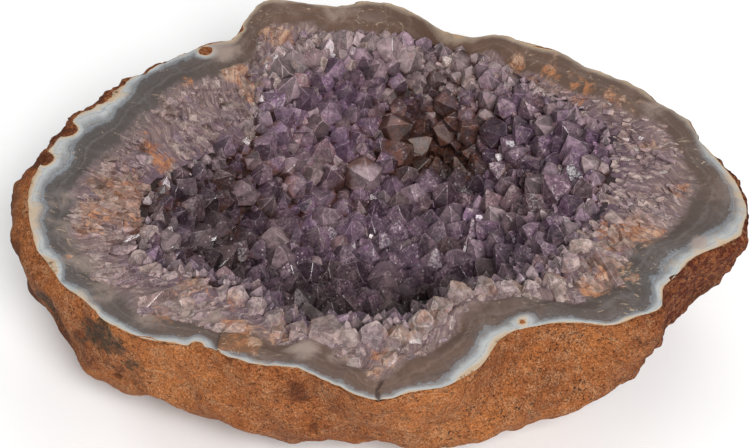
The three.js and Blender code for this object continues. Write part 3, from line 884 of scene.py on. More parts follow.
stone = {
    "around": 800,  # steps round the stone
    "insideBox": 0.02,  # how far it keeps inside the solid's box
    "leastRind": 0.4,
    "chips": 0.55,  # along the rim's edge
    "nicks": 0.9,
    "wallRows": 52,
    "shoulderRows": 4,
    "breakRows": 58,
    "hiddenRows": 6,
    "lumps": 0.8,  # millimetres, at 14 mm wide
    "grains": 0.3,  # at 3 mm wide
    "pits": 0.35,
    "holes": 0.9,
    "coarse": [[345, 28, 1.2], [155, 32, 0.9]],  # angle, spread, extra grain where the rind is crumbly
    "greySteps": 0.13,
    "quartzSteps": 0.6,
    "ridges": 0.42,  # height of the columns' ends that run in towards the hollow
    "swirl": 0.55,  # how far they turn sideways
    # x, y, size: where rind is left on the broken face
    "rindSpots": [
        [-80, 32, 2.6], [-88, 18, 2.8], [-92, 6, 2.6], [-51, 54, 1.8], [-42, 66, 1.3], [-45, -64, 2.2],
    ],
    "agateEye": [36, -55, 3.8],  # a small round of white layers with rind in its middle
    "lobes": 3.4,  # millimetres that the white layer swells in and out on the left
    "ironSpots": [
        [-42, 46, 3.6, 1.3], [-37, 42, 3.2, 1.2], [-34, 53, 3.6, 0.7], [-29, 65, 3.4, 1.1],
        [-33, 66, 3, 0.9], [-37, 40, 3.5, 0.7], [41, 52, 2.4, 1.0], [61, 38, 3.4, 0.7], [66, 35, 3, 0.65],
        [-64, 15, 3, 0.8], [-60, 12, 4, 0.7], [-70, -3, 7, 1.1], [-74, -12, 6, 0.95], [-66, -9, 6.5, 0.9],
        [-76, -18, 4, 0.7], [-65, -15, 4, 0.7], [-80, -31, 1.3, 0.9], [-48, -39, 5, 0.6],
        [-54, -53, 3.5, 0.7], [-31, -62, 3.2, 0.7], [-34, -56, 4, 0.8], [-25, -56, 4, 0.6],
        [5, -56, 3.4, 0.85], [1, -65, 3.5, 0.8], [-1, -71, 2.5, 0.7], [12, -50, 4, 0.75],
        [16, -45, 3, 0.8], [20, -40, 3.5, 0.65], [54, -41, 2.8, 1.0], [57, -43, 3, 0.9],
        [47, -35, 3.4, 0.6], [61, -16, 3.4, 0.6], [69, -16, 3.2, 0.95], [70, -24, 3, 0.95],
        [65, -38, 2.6, 0.7], [66, -21, 7, 0.85], [59, -35, 6, 0.8], [73, -21, 4, 0.7], [51, 47, 6, 0.36],
        [60, 41, 6, 0.42], [70, 31, 5, 0.36], [82, -6, 2.2, 0.75], [61, -26, 2.8, 0.8],
        [36, -39, 2.4, 0.6], [76, 14, 3, 0.5], [53, -24, 2.4, 0.6], [-55, 40, 2.4, 0.6],
        [-24, -50, 4, 0.55], [-38, -44, 4, 0.5], [-16, -53, 3, 0.5], [8, -54, 4, 0.7], [29, -39, 3, 0.5],
    ],
    "milkSpots": [  # clouds in the white and grey layers
        [-19, -64, 6, 0.8], [-10, -65, 5, 0.6], [-50, -49, 5, 0.9], [-42, -51, 5, 0.9], [-46, 55, 6, 0.8],
        [84, -27, 3.5, 0.8], [-85, -8, 8, 0.42], [-83, -19, 9, 0.5], [-78, -31, 10, 0.55],
        [-69, -43, 10, 0.55], [-58, -53, 10, 0.5], [78, 26, 7, 0.5], [62, 46, 8, 0.5], [20, 71, 8, 0.5],
        [-12, 75, 9, 0.5], [-30, 80, 6, 0.5], [44, 60, 7, 0.5],
    ],
    "block": [-34.5, -62.4, 5.4, 3.4, -0.1],  # a step of stained agate in front: x, y, half sizes, turn
    "blockHeight": 0.9,
    "seam": [[0, -80.5], [-0.6, -77], [0.8, -73.5]],
    "lichenSpots": [
        [-84, -34, 34, 8, 1], [-88, -26, 38, 5, 1], [-71, -56, 40, 8, 1], [-66, -62, 33, 7, 1],
        [35, -64, 28, 4, 0.8],
    ],
    # x, y, z, radius, strength: brown patches on the rind. The broad ones at the far left make that whole
    # side darker.
    "brownSpots": [
        [-20, -60, 10, 9, 0.9], [53, -63, 30, 4, 0.75], [-96, -20, 30, 14, 0.9], [-88, -40, 20, 12, 0.9],
        [-20, -70, 38, 4, 1], [-81, 33, 50, 4, 1], [-89, 18, 49, 4, 1], [-93, 6, 48, 4, 1],
        [-98, -8, 40, 9, 0.8], [-96, -24, 40, 8, 0.8], [-78, -56, 38, 12, 0.6], [-60, -60, 20, 14, 0.5],
        [68, -56, 38, 9, 0.5], [40, -70, 12, 12, 0.45], [88, -20, 20, 14, 0.6],
    ],
    # x, y, z, radius, height: bulges and dents of the wall
    "wallBulges": [
        [-78, -52, 16, 9, 1.6], [-88, -38, 30, 6, -1.4], [60, -60, 20, 12, -0.6], [70, -57, 40, 7, 1.4],
        [72, -58, 30, 8, 1.3], [77, -44, 42, 6, -2.2], [77, -43, 33, 7, -2], [73, -57, 22, 7, 1],
    ],
}


def rimChips(look, theta, rim, top):
    edge = ringPlaces(rim, theta, top)
    nicks = look["nicks"] * smoothStep(0.25, 0.8, softNoise(edge, 7, 41))
    chips = look["chips"] * layeredNoise(edge, 5, 40, 3) - nicks
    back = smoothStep(-20, 30, edge[:, 1])
    narrow = 1 - smoothStep(5, 12, rim - hollowRadius(theta))
    left = smoothStep(30, 60, -edge[:, 0]) * smoothStep(-5, 20, edge[:, 1])
    chips += 0.5 * left * layeredNoise(edge, 2.4, 42, 2)
    return chips * (0.5 + 0.5 * back) * (1 - 0.7 * narrow)


# Rings from the foot to under the crystals: radius, height and zone. The zone is 0 on the wall, 1 on the
# shoulder, 2 on the broken face and 3 where the crust hides the stone.
def stoneRings(look, theta):
    top, rind = rimHeight(theta), np.maximum(look["leastRind"], rindWidth(theta))
    rim = rimRadius(theta) + rimChips(look, theta, rimRadius(theta), top)
    drop = 0.75 * rind + 0.3
    rings = [(footShare * bellyRadius(theta), 0 * theta, 0)]
    for n in range(1, look["wallRows"] + 1):
        t = n / look["wallRows"]
        z = (top - drop) * (0.4 * t * t + 0.6 * t)
        rings.append((wallRadius(theta, z) + (rim - rimRadius(theta)) * smoothStep(0.75, 1, t), z, 0))
    for n in range(1, look["shoulderRows"] + 1):
        u = n / look["shoulderRows"]
        rings.append((rim - rind * u, top - drop * (1 - u) ** 1.7, 1))
    inner = hollowRadius(theta) + crustWidth
    for n in range(1, look["breakRows"] + 1):
        share = 1 - n / look["breakRows"]
        radius = inner + share * (rim - rind - inner)
        inShelf = np.clip((radius - inner) / shelfReach(theta), 0, 1)
        rings.append((radius, shelfHeight(theta, inShelf), 2))
    for n in range(1, look["hiddenRows"] + 1):
        radius = inner * (1 - 0.9 * n / look["hiddenRows"])
        x, y = radius * np.cos(theta), radius * np.sin(theta)
        rings.append((radius, bowlHeight(x, y, crustWidth, crustDepth), 3))
    return (np.array([ring[k] for ring in rings]) for k in range(3))


# The rind's relief, how crumbly it is, and the height of its grains and pits alone.
def rindRelief(look, p, angle):
    crumbly = np.zeros(len(p))
    for middle, spread, extra in look["coarse"]:
        away = np.abs((np.degrees(angle) - middle + 180) % 360 - 180)
        crumbly = np.maximum(crumbly, extra * (1 - smoothStep(spread * 0.5, spread, away)))
    lumps = look["lumps"] * layeredNoise(p, 14, 1, 3)
    grains = look["grains"] * (1 + 1.6 * crumbly) * layeredNoise(p, 3.2, 5, 3, 0.6)
    near, own = cells(p, 4.5, 9)[:2]
    pits = -look["pits"] * (1 + crumbly) * (1 - smoothStep(0.12, 0.3, near)) * (own[:, 0] > 0.55)
    near, own = cells(p, 11, 12)[:2]
    pits -= look["holes"] * (1 - smoothStep(0.08, 0.2, near)) * (own[:, 0] > 0.5)
    calm = smoothStep(0, 5, p[:, 2])
    relief = calm * (lumps + grains + pits + sum(blobs(p, look["wallBulges"])) - 0.3)
    return relief, crumbly, pits + grains


# How far in through the layers each point is: below 0 on the rind, 1 where the white ends, 2 where the grey
# ends and 3 at the hollow.
def layerGrowth(look, p, angle):
    x, y = p.T[:2]
    distance = rimRadius(angle) - np.hypot(x, y)
    wander = 0.6 * layeredNoise(p, 7, 21, 3) + 0.25 * softNoise(p, 1.8, 24)
    lobeSize = 0.8 + look["lobes"] * smoothStep(0.9, 1, whiteness(angle))
    d = distance + wander + lobeSize * (np.minimum(cells(p * [1, 1, 0], 9.5, 26)[0], 0.9) - 0.5)
    rindEnds, whiteEnds = np.maximum(look["leastRind"], rindWidth(angle)), whiteEnd(angle)
    greyEnds = greyEnd(angle)
    hollowEnds = np.maximum(greyEnds + 2, rimRadius(angle) - hollowRadius(angle))
    growth = np.select(
        [d < rindEnds, d < whiteEnds, d < greyEnds],
        [(d - rindEnds) / 2.5, (d - rindEnds) / np.maximum(0.5, whiteEnds - rindEnds),
         1 + (d - whiteEnds) / (greyEnds - whiteEnds)],
        2 + (d - greyEnds) / (hollowEnds - greyEnds))
    growth = np.maximum(growth, np.where(distance > rindEnds + 0.15, 0.06, -1))
    for sx, sy, size in look["rindSpots"]:
        away = np.hypot(x - sx, y - sy) + 0.8 * wander
        growth = np.minimum(growth, (away - size) / (1.1 * size))
    ex, ey, size = look["agateEye"]
    return np.minimum(growth, np.hypot(x - ex, y - ey) / size - 0.12)


# The broken face's relief: flat steps, and in the quartz the ends of columns that run in to the hollow.
def faceRelief(look, p, angle, inGrey, inQuartz):
    face = (0.05 + look["greySteps"] * inGrey) * facets(p, 8, 31, 0.55, 0.11)
    face += look["quartzSteps"] * inQuartz * facets(p * [1, 1, 0.3], 4.2, 33, 0.7, 0.3)
    face += 0.22 * layeredNoise(p, 6, 35, 3) + 0.25 * inQuartz * layeredNoise(p, 2.4, 37, 2)
    away = np.hypot(p[:, 0], p[:, 1])
    turned = angle + look["swirl"] * away / 80
    ridgePlace = np.stack([80 * np.cos(turned) / 1.5, 80 * np.sin(turned) / 1.5, away / 8], -1)
    return face + look["ridges"] * inQuartz * layeredNoise(ridgePlace, 1.0, 43, 2)


# The step of stained agate: 1 on it and 0 beside it.
def blockShape(look, x, y):
    bx, by, halfX, halfY, turn = look["block"]
    u = (x - bx) * math.cos(turn) + (y - by) * math.sin(turn)
    v = (y - by) * math.cos(turn) - (x - bx) * math.sin(turn)
    return smoothStep(1.0, 0.93, np.maximum(np.abs(u) / halfX, np.abs(v) / halfY))


# The thin crack across the rim in front: 1 in it and 0 beside it.
def seamShape(look, x, y, z):
    seam = np.zeros(len(x))
    for (ax, ay), (cx, cy) in zip(look["seam"], look["seam"][1:]):
        t = np.clip(((x - ax) * (cx - ax) + (y - ay) * (cy - ay)) / ((cx - ax) ** 2 + (cy - ay) ** 2), 0, 1)
        away = np.hypot(x - ax - t * (cx - ax), y - ay - t * (cy - ay))
        seam = np.maximum(seam, 1 - smoothStep(0.15, 0.65, away))
    return seam * smoothStep(40, 44, z)


def buildStone(look):
    theta = np.linspace(0, 2 * np.pi, look["around"], endpoint=False)
    radius, height, zones = stoneRings(look, theta)
    grid = ringPlaces(radius, theta, height)
    alongRing = np.roll(grid, -1, 1) - np.roll(grid, 1, 1)
    normal = unit(np.cross(alongRing, np.gradient(grid, axis=0))).reshape(-1, 3)
    p = grid.reshape(-1, 3)
    x, y, z = p.T
    angle, zone = np.tile(theta, len(zones)), np.repeat(zones, len(theta))
    onRind = zone <= 1

    rough, crumbly, dents = rindRelief(look, p, angle)
    growth = layerGrowth(look, p, angle)
    inGrey = smoothStep(0.9, 1.2, growth) * (1 - smoothStep(1.95, 2.1, growth))
    inQuartz = smoothStep(1.95, 2.2, growth)
    block, seam = blockShape(look, x, y), seamShape(look, x, y, z)
    face = faceRelief(look, p, angle, inGrey, inQuartz) + look["blockHeight"] * block - seam

    # the broken face is calmer where it is narrow
    shelfWidth = rimRadius(angle) - hollowRadius(angle)
    onFace = (zone == 2) * (0.1 + 0.9 * smoothStep(5, 13, shelfWidth))
    p = p + normal * (onRind * rough + onFace * face)[:, None]
    p[: len(theta), 2] = 0
    low, high = np.array(cadBox[0]) / mm + look["insideBox"], np.array(cadBox[1]) / mm - look["insideBox"]
    p = np.clip(p, low, high)
    ends = [[0, 0, 0], [0, 0, heightAt(0.0, 0.0, crustWidth, crustDepth)]]
    mesh = closeRings("stone", p, len(theta), ends)
    mesh.polygons.foreach_set("use_smooth", np.ones(len(mesh.polygons), bool))

    x, y, z = p.T
    bare = (zone == 1) & (whiteness(angle) < 0.62)
    # how deep each point lies in a pit, a low step or the crack, for the painted shade there
    creviceShade = np.where(onRind, np.clip(-dents / 1.1, 0, 1), np.clip(-face / 1.2, 0, 1)) + seam
    values = {
        "growth": np.where(onRind, np.where(bare, 0.3, -0.5), growth),
        "cool": coolness(angle),
        "iron": np.clip(spots(x, y, look["ironSpots"]), 0, 1.2) + 0.12 * inQuartz + 0.2 * block,
        "milk": spots(x, y, look["milkSpots"]),
        "creviceShade": np.clip(creviceShade, 0, 1),
        "whiteness": whiteness(angle),
        "crumbly": crumbly,
        "patch": np.max(blobs(p, look["lichenSpots"]), 0),
        "brown": np.maximum(np.max(blobs(p, look["brownSpots"]), 0), 0.75 * block),
    }
    for name, value in values.items():
        addAttribute(mesh, name, np.append(value, [0, 0]))
    mesh.update()
    return linkObject("stone", mesh, makeStoneMaterial(rindFinish, agateFinish))


stonePiece = buildStone(stone)
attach(stonePiece, "root")
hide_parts("geode_shell")

print("crystal shapes")

faceSlope = math.radians(51.8)  # between a point's face and the plane across the axis, as in all quartz


def cutAway(shape, point, outward):
    parts = shape.verts[:] + shape.edges[:] + shape.faces[:]
    bmesh.ops.bisect_plane(shape, geom=parts, plane_co=point, plane_no=outward, clear_outer=True, dist=1e-5)
    openEdges = [edge for edge in shape.edges if edge.is_boundary]
    if openEdges:
        bmesh.ops.holes_fill(shape, edges=openEdges)


# A six-sided column of half width 1, with uneven sides.
def makeColumn(rng, bottom, top, uneven):
    turns = [k * math.pi / 3 + rng.uniform(-0.04, 0.04) for k in range(6)]
    reach = [1 + uneven * rng.uniform(-1, 1) for _ in range(6)]
    corners = []
    for k in range(6):
        a, b, p, q = turns[k], turns[(k + 1) % 6], reach[k], reach[(k + 1) % 6]
        bent = math.sin(b - a)
        x, y = p * math.sin(b) - q * math.sin(a), q * math.cos(a) - p * math.cos(b)
        corners.append((x / bent, y / bent))
    shape = bmesh.new()
    lower = [shape.verts.new((x, y, bottom)) for x, y in corners]
    upper = [shape.verts.new((x, y, top)) for x, y in corners]
    shape.faces.new(lower[::-1])
    shape.faces.new(upper)
    for k in range(6):
        shape.faces.new((lower[k], lower[(k + 1) % 6], upper[(k + 1) % 6], upper[k]))
    return shape, turns


# The shape's corners and faces as arrays, with a thin flat on every edge.
def finishShape(shape, edgeWidth):
    bmesh.ops.remove_doubles(shape, verts=shape.verts, dist=0.015)
    rounds = 2 if edgeWidth > 0.15 else 1
    made = bmesh.ops.bevel(shape, geom=shape.edges[:], offset=edgeWidth, segments=rounds,
                           affect="EDGES", clamp_overlap=True)
    edgeFaces = set(made["faces"])
    bmesh.ops.recalc_face_normals(shape, faces=shape.faces)
    shape.verts.index_update()
    points = np.array([v.co for v in shape.verts])
    faces = [[v.index for v in face.verts] for face in shape.faces]
    edges = np.array([1.0 if face in edgeFaces else 0.0 for face in shape.faces])
    shape.free()
    return points, faces, edges


# A whole crystal: column and six-faced point, with every other face of the point smaller.
def makePoint(rng, rise, small, edgeWidth):
    tip = math.tan(faceSlope) + rise
    shape, turns = makeColumn(rng, -1.1, tip + 0.4, 0.12)
    out, up = math.sin(faceSlope), math.cos(faceSlope)
    for k, phi in enumerate(turns):
        shorter = (k % 2) * small * rng.uniform(0.3, 1.3) + rng.uniform(0, 0.08)
        outward = Vector((out * math.cos(phi), out * math.sin(phi), up))
        cutAway(shape, outward * (up * tip + shorter), outward)
    return finishShape(shape, edgeWidth)


def makePoints(rng, count, rises, smalls, edgeWidth):
    return [makePoint(rng, rng.uniform(*rises), rng.uniform(*smalls), edgeWidth) for _ in range(count)]


# A piece of broken quartz: a column with its ends and its top side struck off at angles.
def makeShard(rng, edgeWidth):
    shape = makeColumn(rng, -1.6, 2.2, 0.25)[0]
    for _ in range(rng.integers(3, 6)):
        phi = rng.uniform(0, 2 * math.pi)
        lift = rng.uniform(-0.2, 0.9)
        outward = Vector((math.cos(phi) * math.cos(lift), math.sin(phi) * math.cos(lift), math.sin(lift)))
        cutAway(shape, outward * rng.uniform(0.55, 0.95) * (1 + 0.6 * max(0, math.sin(lift))), outward)
    return finishShape(shape, edgeWidth)


# One closed mesh from many overlapping crystals and an optional body under them.
def uniteCrystals(name, shapes, placed, body=None):
    group = bpy.data.collections.new(name + "Parts")
    bpy.context.scene.collection.children.link(group)
    made = []
    for n, crystal in enumerate(placed):
        points, faces, edges = shapes[crystal["shape"]]
        upright = Vector((0, 0, 1)).rotation_difference(crystal["axis"])
        turn = Quaternion(crystal["axis"], crystal["twist"]) @ upright
        matrix = np.array(Matrix.Translation(crystal["root"]) @ turn.to_matrix().to_4x4())
        scaled = points * [crystal["half"], crystal["half"], crystal["half"] * crystal.get("length", 1)]
        world = scaled @ matrix[:3, :3].T + matrix[:3, 3]
        mesh = bpy.data.meshes.new(f"{name}{n}")
        mesh.from_pydata((world * mm).tolist(), [], faces)
        addAttribute(mesh, "which", np.full(len(faces), n + 1.0), "FACE")
        addAttribute(mesh, "edge", edges, "FACE")
        made.append(mesh)
    if body is None:
        body = made.pop(0)
    for mesh in made:
        group.objects.link(bpy.data.objects.new(mesh.name, mesh))
    piece = linkObject(name, body)
    joined = piece.modifiers.new("united", "BOOLEAN")
    joined.operation = "UNION"
    joined.solver = "MANIFOLD"
    joined.operand_type = "COLLECTION"
    joined.collection = group
    bpy.context.view_layer.update()
    whole = bpy.data.meshes.new_from_object(piece.evaluated_get(bpy.context.evaluated_depsgraph_get()))
    piece.modifiers.clear()
    piece.data = whole
    whole.name = name
    for item in list(group.objects):
        bpy.data.objects.remove(item)
    bpy.data.collections.remove(group)
    for mesh in [*made, body]:
        bpy.data.meshes.remove(mesh)
    whole.materials.clear()
    return piece


# Which crystal each face came from, counted from 1, with 0 for the bed.
def faceOwners(mesh):
    values = np.zeros(len(mesh.polygons), np.float32)
    mesh.attributes["which"].data.foreach_get("value", values)
    return np.rint(values).astype(int)


def vertexPlaces(mesh):
    points = np.zeros(len(mesh.vertices) * 3)
    mesh.vertices.foreach_get("co", points)
    return points.reshape(-1, 3) / mm


# The place of each face corner, and the face that it is on.
def cornerPlaces(mesh):
    corner = np.zeros(len(mesh.loops), np.int32)
    mesh.loops.foreach_get("vertex_index", corner)
    totals = np.zeros(len(mesh.polygons), np.int32)
    mesh.polygons.foreach_get("loop_total", totals)
    return vertexPlaces(mesh)[corner], np.repeat(np.arange(len(totals)), totals)


# A crystal's own value on all its faces, and another on the bed.
def addOwnValue(mesh, which, placed, name, onBed=0.0):
    own = np.array([crystal[name] for crystal in placed])
    addAttribute(mesh, name, np.where(which > 0, own[which - 1], onBed), "FACE")


# One random value for each flat of each crystal, whole even where the flat was cut into pieces.
def addFlats(mesh, which):
    normals = np.zeros(len(mesh.polygons) * 3, np.float32)
    mesh.polygons.foreach_get("normal", normals)
    side = np.rint(normals.reshape(-1, 3) * 12) + which[:, None] * 31
    addAttribute(mesh, "facet", gridScatter(side, 5), "FACE")


def finishPiece(mesh, material):
    mesh.materials.append(material)
    mesh.polygons.foreach_set("use_smooth", np.zeros(len(mesh.polygons), bool))
    print("  triangles:", sum(len(face.vertices) - 2 for face in mesh.polygons))


def isCrowded(roots, halves, root, half, crowding):
    return (np.linalg.norm(roots - root, axis=1) < crowding * (halves + half)).any()


print("amethyst crust")

crust = {
    "seed": 11,
    "around": 220,
    "bedRows": 46,
    "underRows": 11,
    "pointShapes": 30,
    "edgeWidth": 0.035,
    # half widths, tries, crowding
    "sizes": [
        [3.3, 4.9, 2600, 0.64], [2.2, 3.3, 5000, 0.64], [1.3, 2.2, 7000, 0.62], [0.8, 1.3, 4000, 0.62],
    ],
    "lean": 0.4,
    "upward": 0.35,
    "ironAllOver": 0.2,
    "field": (76, 71),  # half sizes of the field in which they are scattered
    # x, y, half width, lean along x and y, paleness
    "leadCrystals": [
        [-5, 29, 5.4, 0.15, -0.75, 0.8], [4, 44, 4.4, 0.75, -0.45, 0.6], [-17, 23, 4.2, -0.1, -0.6, 0.3],
        [-29, 29, 4, 0, -0.55, 0.1], [36, 36, 4.2, -0.5, -0.3, 0.1], [41, 26, 3.8, -0.3, -0.35, 0.1],
        [46, 10, 4.6, -0.3, -0.5, 0.6], [34, 9, 3.4, 0.1, -0.2, 0.8], [2, -9, 4.8, 0.15, -0.35, 0.35],
        [24, 33, 4, -0.2, -0.3, 0.1], [48, 30, 3.4, -0.5, -0.3, 0.7], [-43, 20, 3.6, 0.3, -0.5, 0.2],
        [20, -14, 4.2, -0.2, 0.15, 0.3], [-8, 8, 4, 0.1, -0.1, 0.1], [15, 26, 4, 0, -0.35, 0.1],
        [-34, -8, 3.8, 0.1, 0, 0.1], [0, 19, 3.6, 0.1, -0.3, 0], [-22, 45, 4, 0.1, -0.5, 0.2],
        [11, -24, 3.6, 0.4, 0.5, 0.3], [27, 46, 3.4, -0.2, -0.5, 0.4], [60, 11, 3.2, -0.7, -0.2, 1.0],
        [3, 52, 2.4, -0.4, -0.6, 0.8], [-19, 48, 1.8, 0.2, -0.6, 1.0], [18, 55, 3.2, 0, -0.6, 0.7],
        [-5, 59, 3.2, 0, -0.7, 0.5], [-38, 29, 2, 0, -0.5, 1.0], [-43, 19, 2, 0, -0.5, 1.0],
        [12, 36, 3.8, 0.2, -0.4, 0], [23, 41, 4, 0, -0.4, 0], [29, 38, 3.6, -0.2, -0.4, 0],
        [-25, 20, 4, 0, -0.5, 0.3], [-33, 22, 3.8, 0, -0.5, 0.1], [-10, 20, 3.6, 0, -0.5, 0.2],
    ],
    "ironSpots": [
        [14, 42, 14, 1.4], [24, 38, 11, 1.2], [6, 36, 8, 0.9], [-55, 22, 8, 0.7], [-38, 20, 8, 0.8],
        [-23, 18, 8, 0.8], [-8, 23, 9, 0.8], [8, 30, 8, 0.8], [-60, -1, 8, 0.9], [-25, 33, 10, 0.55],
        [-5, 36, 9, 0.7], [40, 20, 9, 0.6], [60, 3, 7, 0.7], [-40, 5, 16, 0.5], [13, -23, 5, 0.7],
        [30, 55, 10, 0.6], [-30, 10, 14, 0.5], [12, -48, 6, 0.8], [18, -40, 6, 0.7], [-50, -36, 9, 0.6],
        [-30, -50, 7, 0.6],
    ],
    # x, y, radius, strength: a smoky tint and painted shade on the deep floor and in the recess at the back
    "smokeAndShadeSpots": [
        [-45, -4, 26, 1.0], [-18, -22, 26, 1.1], [12, -26, 26, 1.25], [10, 2, 24, 0.6],
        [34, -18, 20, 0.85], [14, 39, 14, 1.45], [23, 32, 12, 1.3], [42, 15, 16, 0.5],
    ],
}


# The closed body under the crystals. Its bottom is hidden in the stone.
def makeBed(look):
    theta = np.linspace(0, 2 * np.pi, look["around"], endpoint=False)
    grow, drop = crustWidth - 0.3, crustDepth - 0.4
    outer = hollowRadius(theta) + grow
    rings = []
    for n in range(look["underRows"]):
        radius = outer * (1 - 0.96 * (1 - n / look["underRows"]))
        rings.append((radius, bowlHeight(radius * np.cos(theta), radius * np.sin(theta), grow, drop)))
    rings += [(outer, hollowHeight(theta) - 1.2), (outer, hollowHeight(theta) - 0.1)]
    for n in range(look["bedRows"]):
        radius = hollowRadius(theta) * (1 - 0.97 * n / look["bedRows"])
        level = bowlHeight(radius * np.cos(theta), radius * np.sin(theta))
        rings.append((radius, level - 0.1 - 0.9 * smoothStep(0, 0.12, n / look["bedRows"])))
    radius, height = (np.array([ring[k] for ring in rings]) for k in range(2))
    ends = [[0, 0, heightAt(0.0, 0.0, grow, drop)], [0, 0, heightAt(0.0, 0.0) - 1]]
    mesh = closeRings("bed", ringPlaces(radius, theta, height).reshape(-1, 3), len(theta), ends, split=True)
    for name in ("which", "edge"):
        addAttribute(mesh, name, np.zeros(len(mesh.polygons)), "FACE")
    return mesh


def placeCrystals(look, rng, shapeCount):
    placed = []
    roots = np.zeros((0, 3))
    halves = np.zeros(0)

    def stand(root, axis, half, pale):
        nonlocal roots, halves
        placed.append({
            "root": Vector(root), "axis": Vector(axis), "half": half, "pale": pale,
            "shape": int(rng.integers(shapeCount)), "twist": rng.uniform(0, 2 * math.pi),
            "tone": rng.uniform(0, 1), "length": rng.uniform(0.95, 1.2), "warm": rng.uniform(0, 1) ** 3,
        })
        roots = np.vstack([roots, root])
        halves = np.append(halves, half)

    for x, y, half, leanX, leanY, pale in look["leadCrystals"]:
        axis = unit(normalAt(x, y) + [leanX, leanY, look["upward"]])
        stand(np.array([x, y, heightAt(x, y)]) + 0.1 * half * axis, axis, half, pale)
    for smallest, largest, tries, crowding in look["sizes"]:
        start = int(rng.integers(1, 5000))
        for n in range(start, start + tries):
            x, y = evenPlace(n, *look["field"])
            room = float(hollowRadius(math.atan2(y, x))) - math.hypot(x, y)
            half = smallest + (largest - smallest) * rng.uniform(0, 1) ** 1.4
            # larger ones stand along the back edge, and only small ones along the other edges
            behind = float(smoothStep(40, 55, y))
            if room < -0.6 - 1.5 * behind or half > 1.6 + 0.35 * room + 1.2 * behind or half < 1.5 * behind:
                continue
            root = np.array([x, y, heightAt(x, y)])
            if isCrowded(roots, halves, root, half, crowding):
                continue
            lean = look["lean"] * math.sqrt(rng.uniform(0, 1))
            turn = rng.uniform(0, 2 * math.pi)
            tilt = [lean * math.cos(turn), lean * math.sin(turn), look["upward"]]
            axis = unit(normalAt(x, y) + tilt)
            atEdge = (0.5 + 0.5 * behind) * (1 - float(smoothStep(1, 4 + 9 * behind, room)))
            pale = rng.uniform(0, 1) ** 5 * 0.8 + atEdge * rng.uniform(0.4, 1.6)
            stand(root - (0.12 + 0.16 * behind) * half * axis, axis, half, min(1, pale))
    return placed


def buildCrust(look):
    rng = np.random.default_rng(look["seed"])
    shapes = makePoints(rng, look["pointShapes"], (0, 0.45), (0.05, 0.3), look["edgeWidth"])
    placed = placeCrystals(look, rng, len(shapes))
    print("  crystals:", len(placed))
    piece = uniteCrystals("amethystCrust", shapes, placed, makeBed(look))
    mesh = piece.data
    which = faceOwners(mesh)
    for name, onBed in (("tone", 0.3), ("warm", 0.3), ("pale", 0.0)):
        addOwnValue(mesh, which, placed, name, onBed)
    addFlats(mesh, which)

    # how far up its crystal each corner is: 0 at the root, about 1 at the tip
    corners, faceOf = cornerPlaces(mesh)
    owner = which[faceOf] - 1
    keys = ("root", "axis", "half")
    roots, axes, halves = (np.array([crystal[key] for crystal in placed]) for key in keys)
    high = np.sum((corners - roots[owner]) * axes[owner], 1) / halves[owner]
    addAttribute(mesh, "rise", np.where(owner < 0, -0.5, high), "CORNER")
    x, y = vertexPlaces(mesh).T[:2]
    addAttribute(mesh, "iron", spots(x, y, look["ironSpots"]) + look["ironAllOver"])
    # where the smoky tint and painted shade are
    addAttribute(mesh, "smokeAndShade", spots(x, y, look["smokeAndShadeSpots"]))
    finishPiece(mesh, makeAmethystMaterial(amethystFinish))
    return piece


crustPiece = buildCrust(crust)
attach(crustPiece, "root")
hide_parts("amethyst_crust")

print("broken quartz belt")

belt = {
    "seed": 23,
    "shardShapes": 36,
    "knuckleShapes": 12,
    "edgeWidth": 0.05,
    "ironAllOver": 0.18,
    "stubEdge": 0.12,
    "knuckleEdge": 0.26,
    "field": (98, 82),  # half sizes of the field in which they are scattered
    "swirl": stone["swirl"],
    "tries": [[1.0, 4000, 0.85], [0.6, 7000, 0.75]],  # share of the size, tries, crowding
    # angle, half width, how far the pieces stand up, length, share left bare
    "lay": [
        [0, 1.0, 0.08, 1.7, 0.4], [35, 1.0, 0.1, 1.6, 0.4], [60, 2, 0.4, 1.2, 0.4],
        [90, 2.3, 0.6, 1, 0.2], [120, 2.2, 0.4, 1.1, 0.25], [150, 1.5, 0.15, 1.4, 0.36],
        [185, 1.5, 0.12, 1.5, 0.4], [212, 1.9, 0.2, 1.4, 0.42], [226, 2.3, 0.5, 1.1, 0.42],
        [250, 2.5, 0.6, 1, 0.45], [285, 2.5, 0.6, 1, 0.4], [305, 2.6, 0.4, 1.3, 0.3],
        [322, 2.7, 0.3, 1.1, 0.3], [340, 1.8, 0.12, 1.5, 0.4],
    ],
    # x, y, half width: the blunt pale crystal ends along the front edge of the hollow
    "knuckles": [
        [-61, -17, 2.6], [-63, -27, 2.4], [-58, -31, 2], [-54, -34, 2.2], [-49, -37, 2.2],
        [-44, -40, 2.6], [-40, -40, 2.4], [-36, -41, 3], [-31, -45, 2.8], [-26, -49, 2.9], [-20, -54, 3],
        [-13, -56, 5.4], [-7, -57, 3.2], [-1, -56, 4], [5, -56, 3.8], [11, -51, 3.8], [15, -46, 3.2],
        [20, -41, 3.4], [27, -39, 2.8], [33, -39, 2.6], [39, -39, 2.6], [45, -37, 3], [50, -30, 3.2],
        [53, -24, 3], [-16, -61, 2.4], [-9, -61, 2.2], [3, -61, 2.6], [9, -57, 2.4], [-25, -54, 2.2],
        [-45, -45, 2], [16, -51, 2.4], [23, -45, 2],
    ],
    "ironSpots": stone["ironSpots"],
}


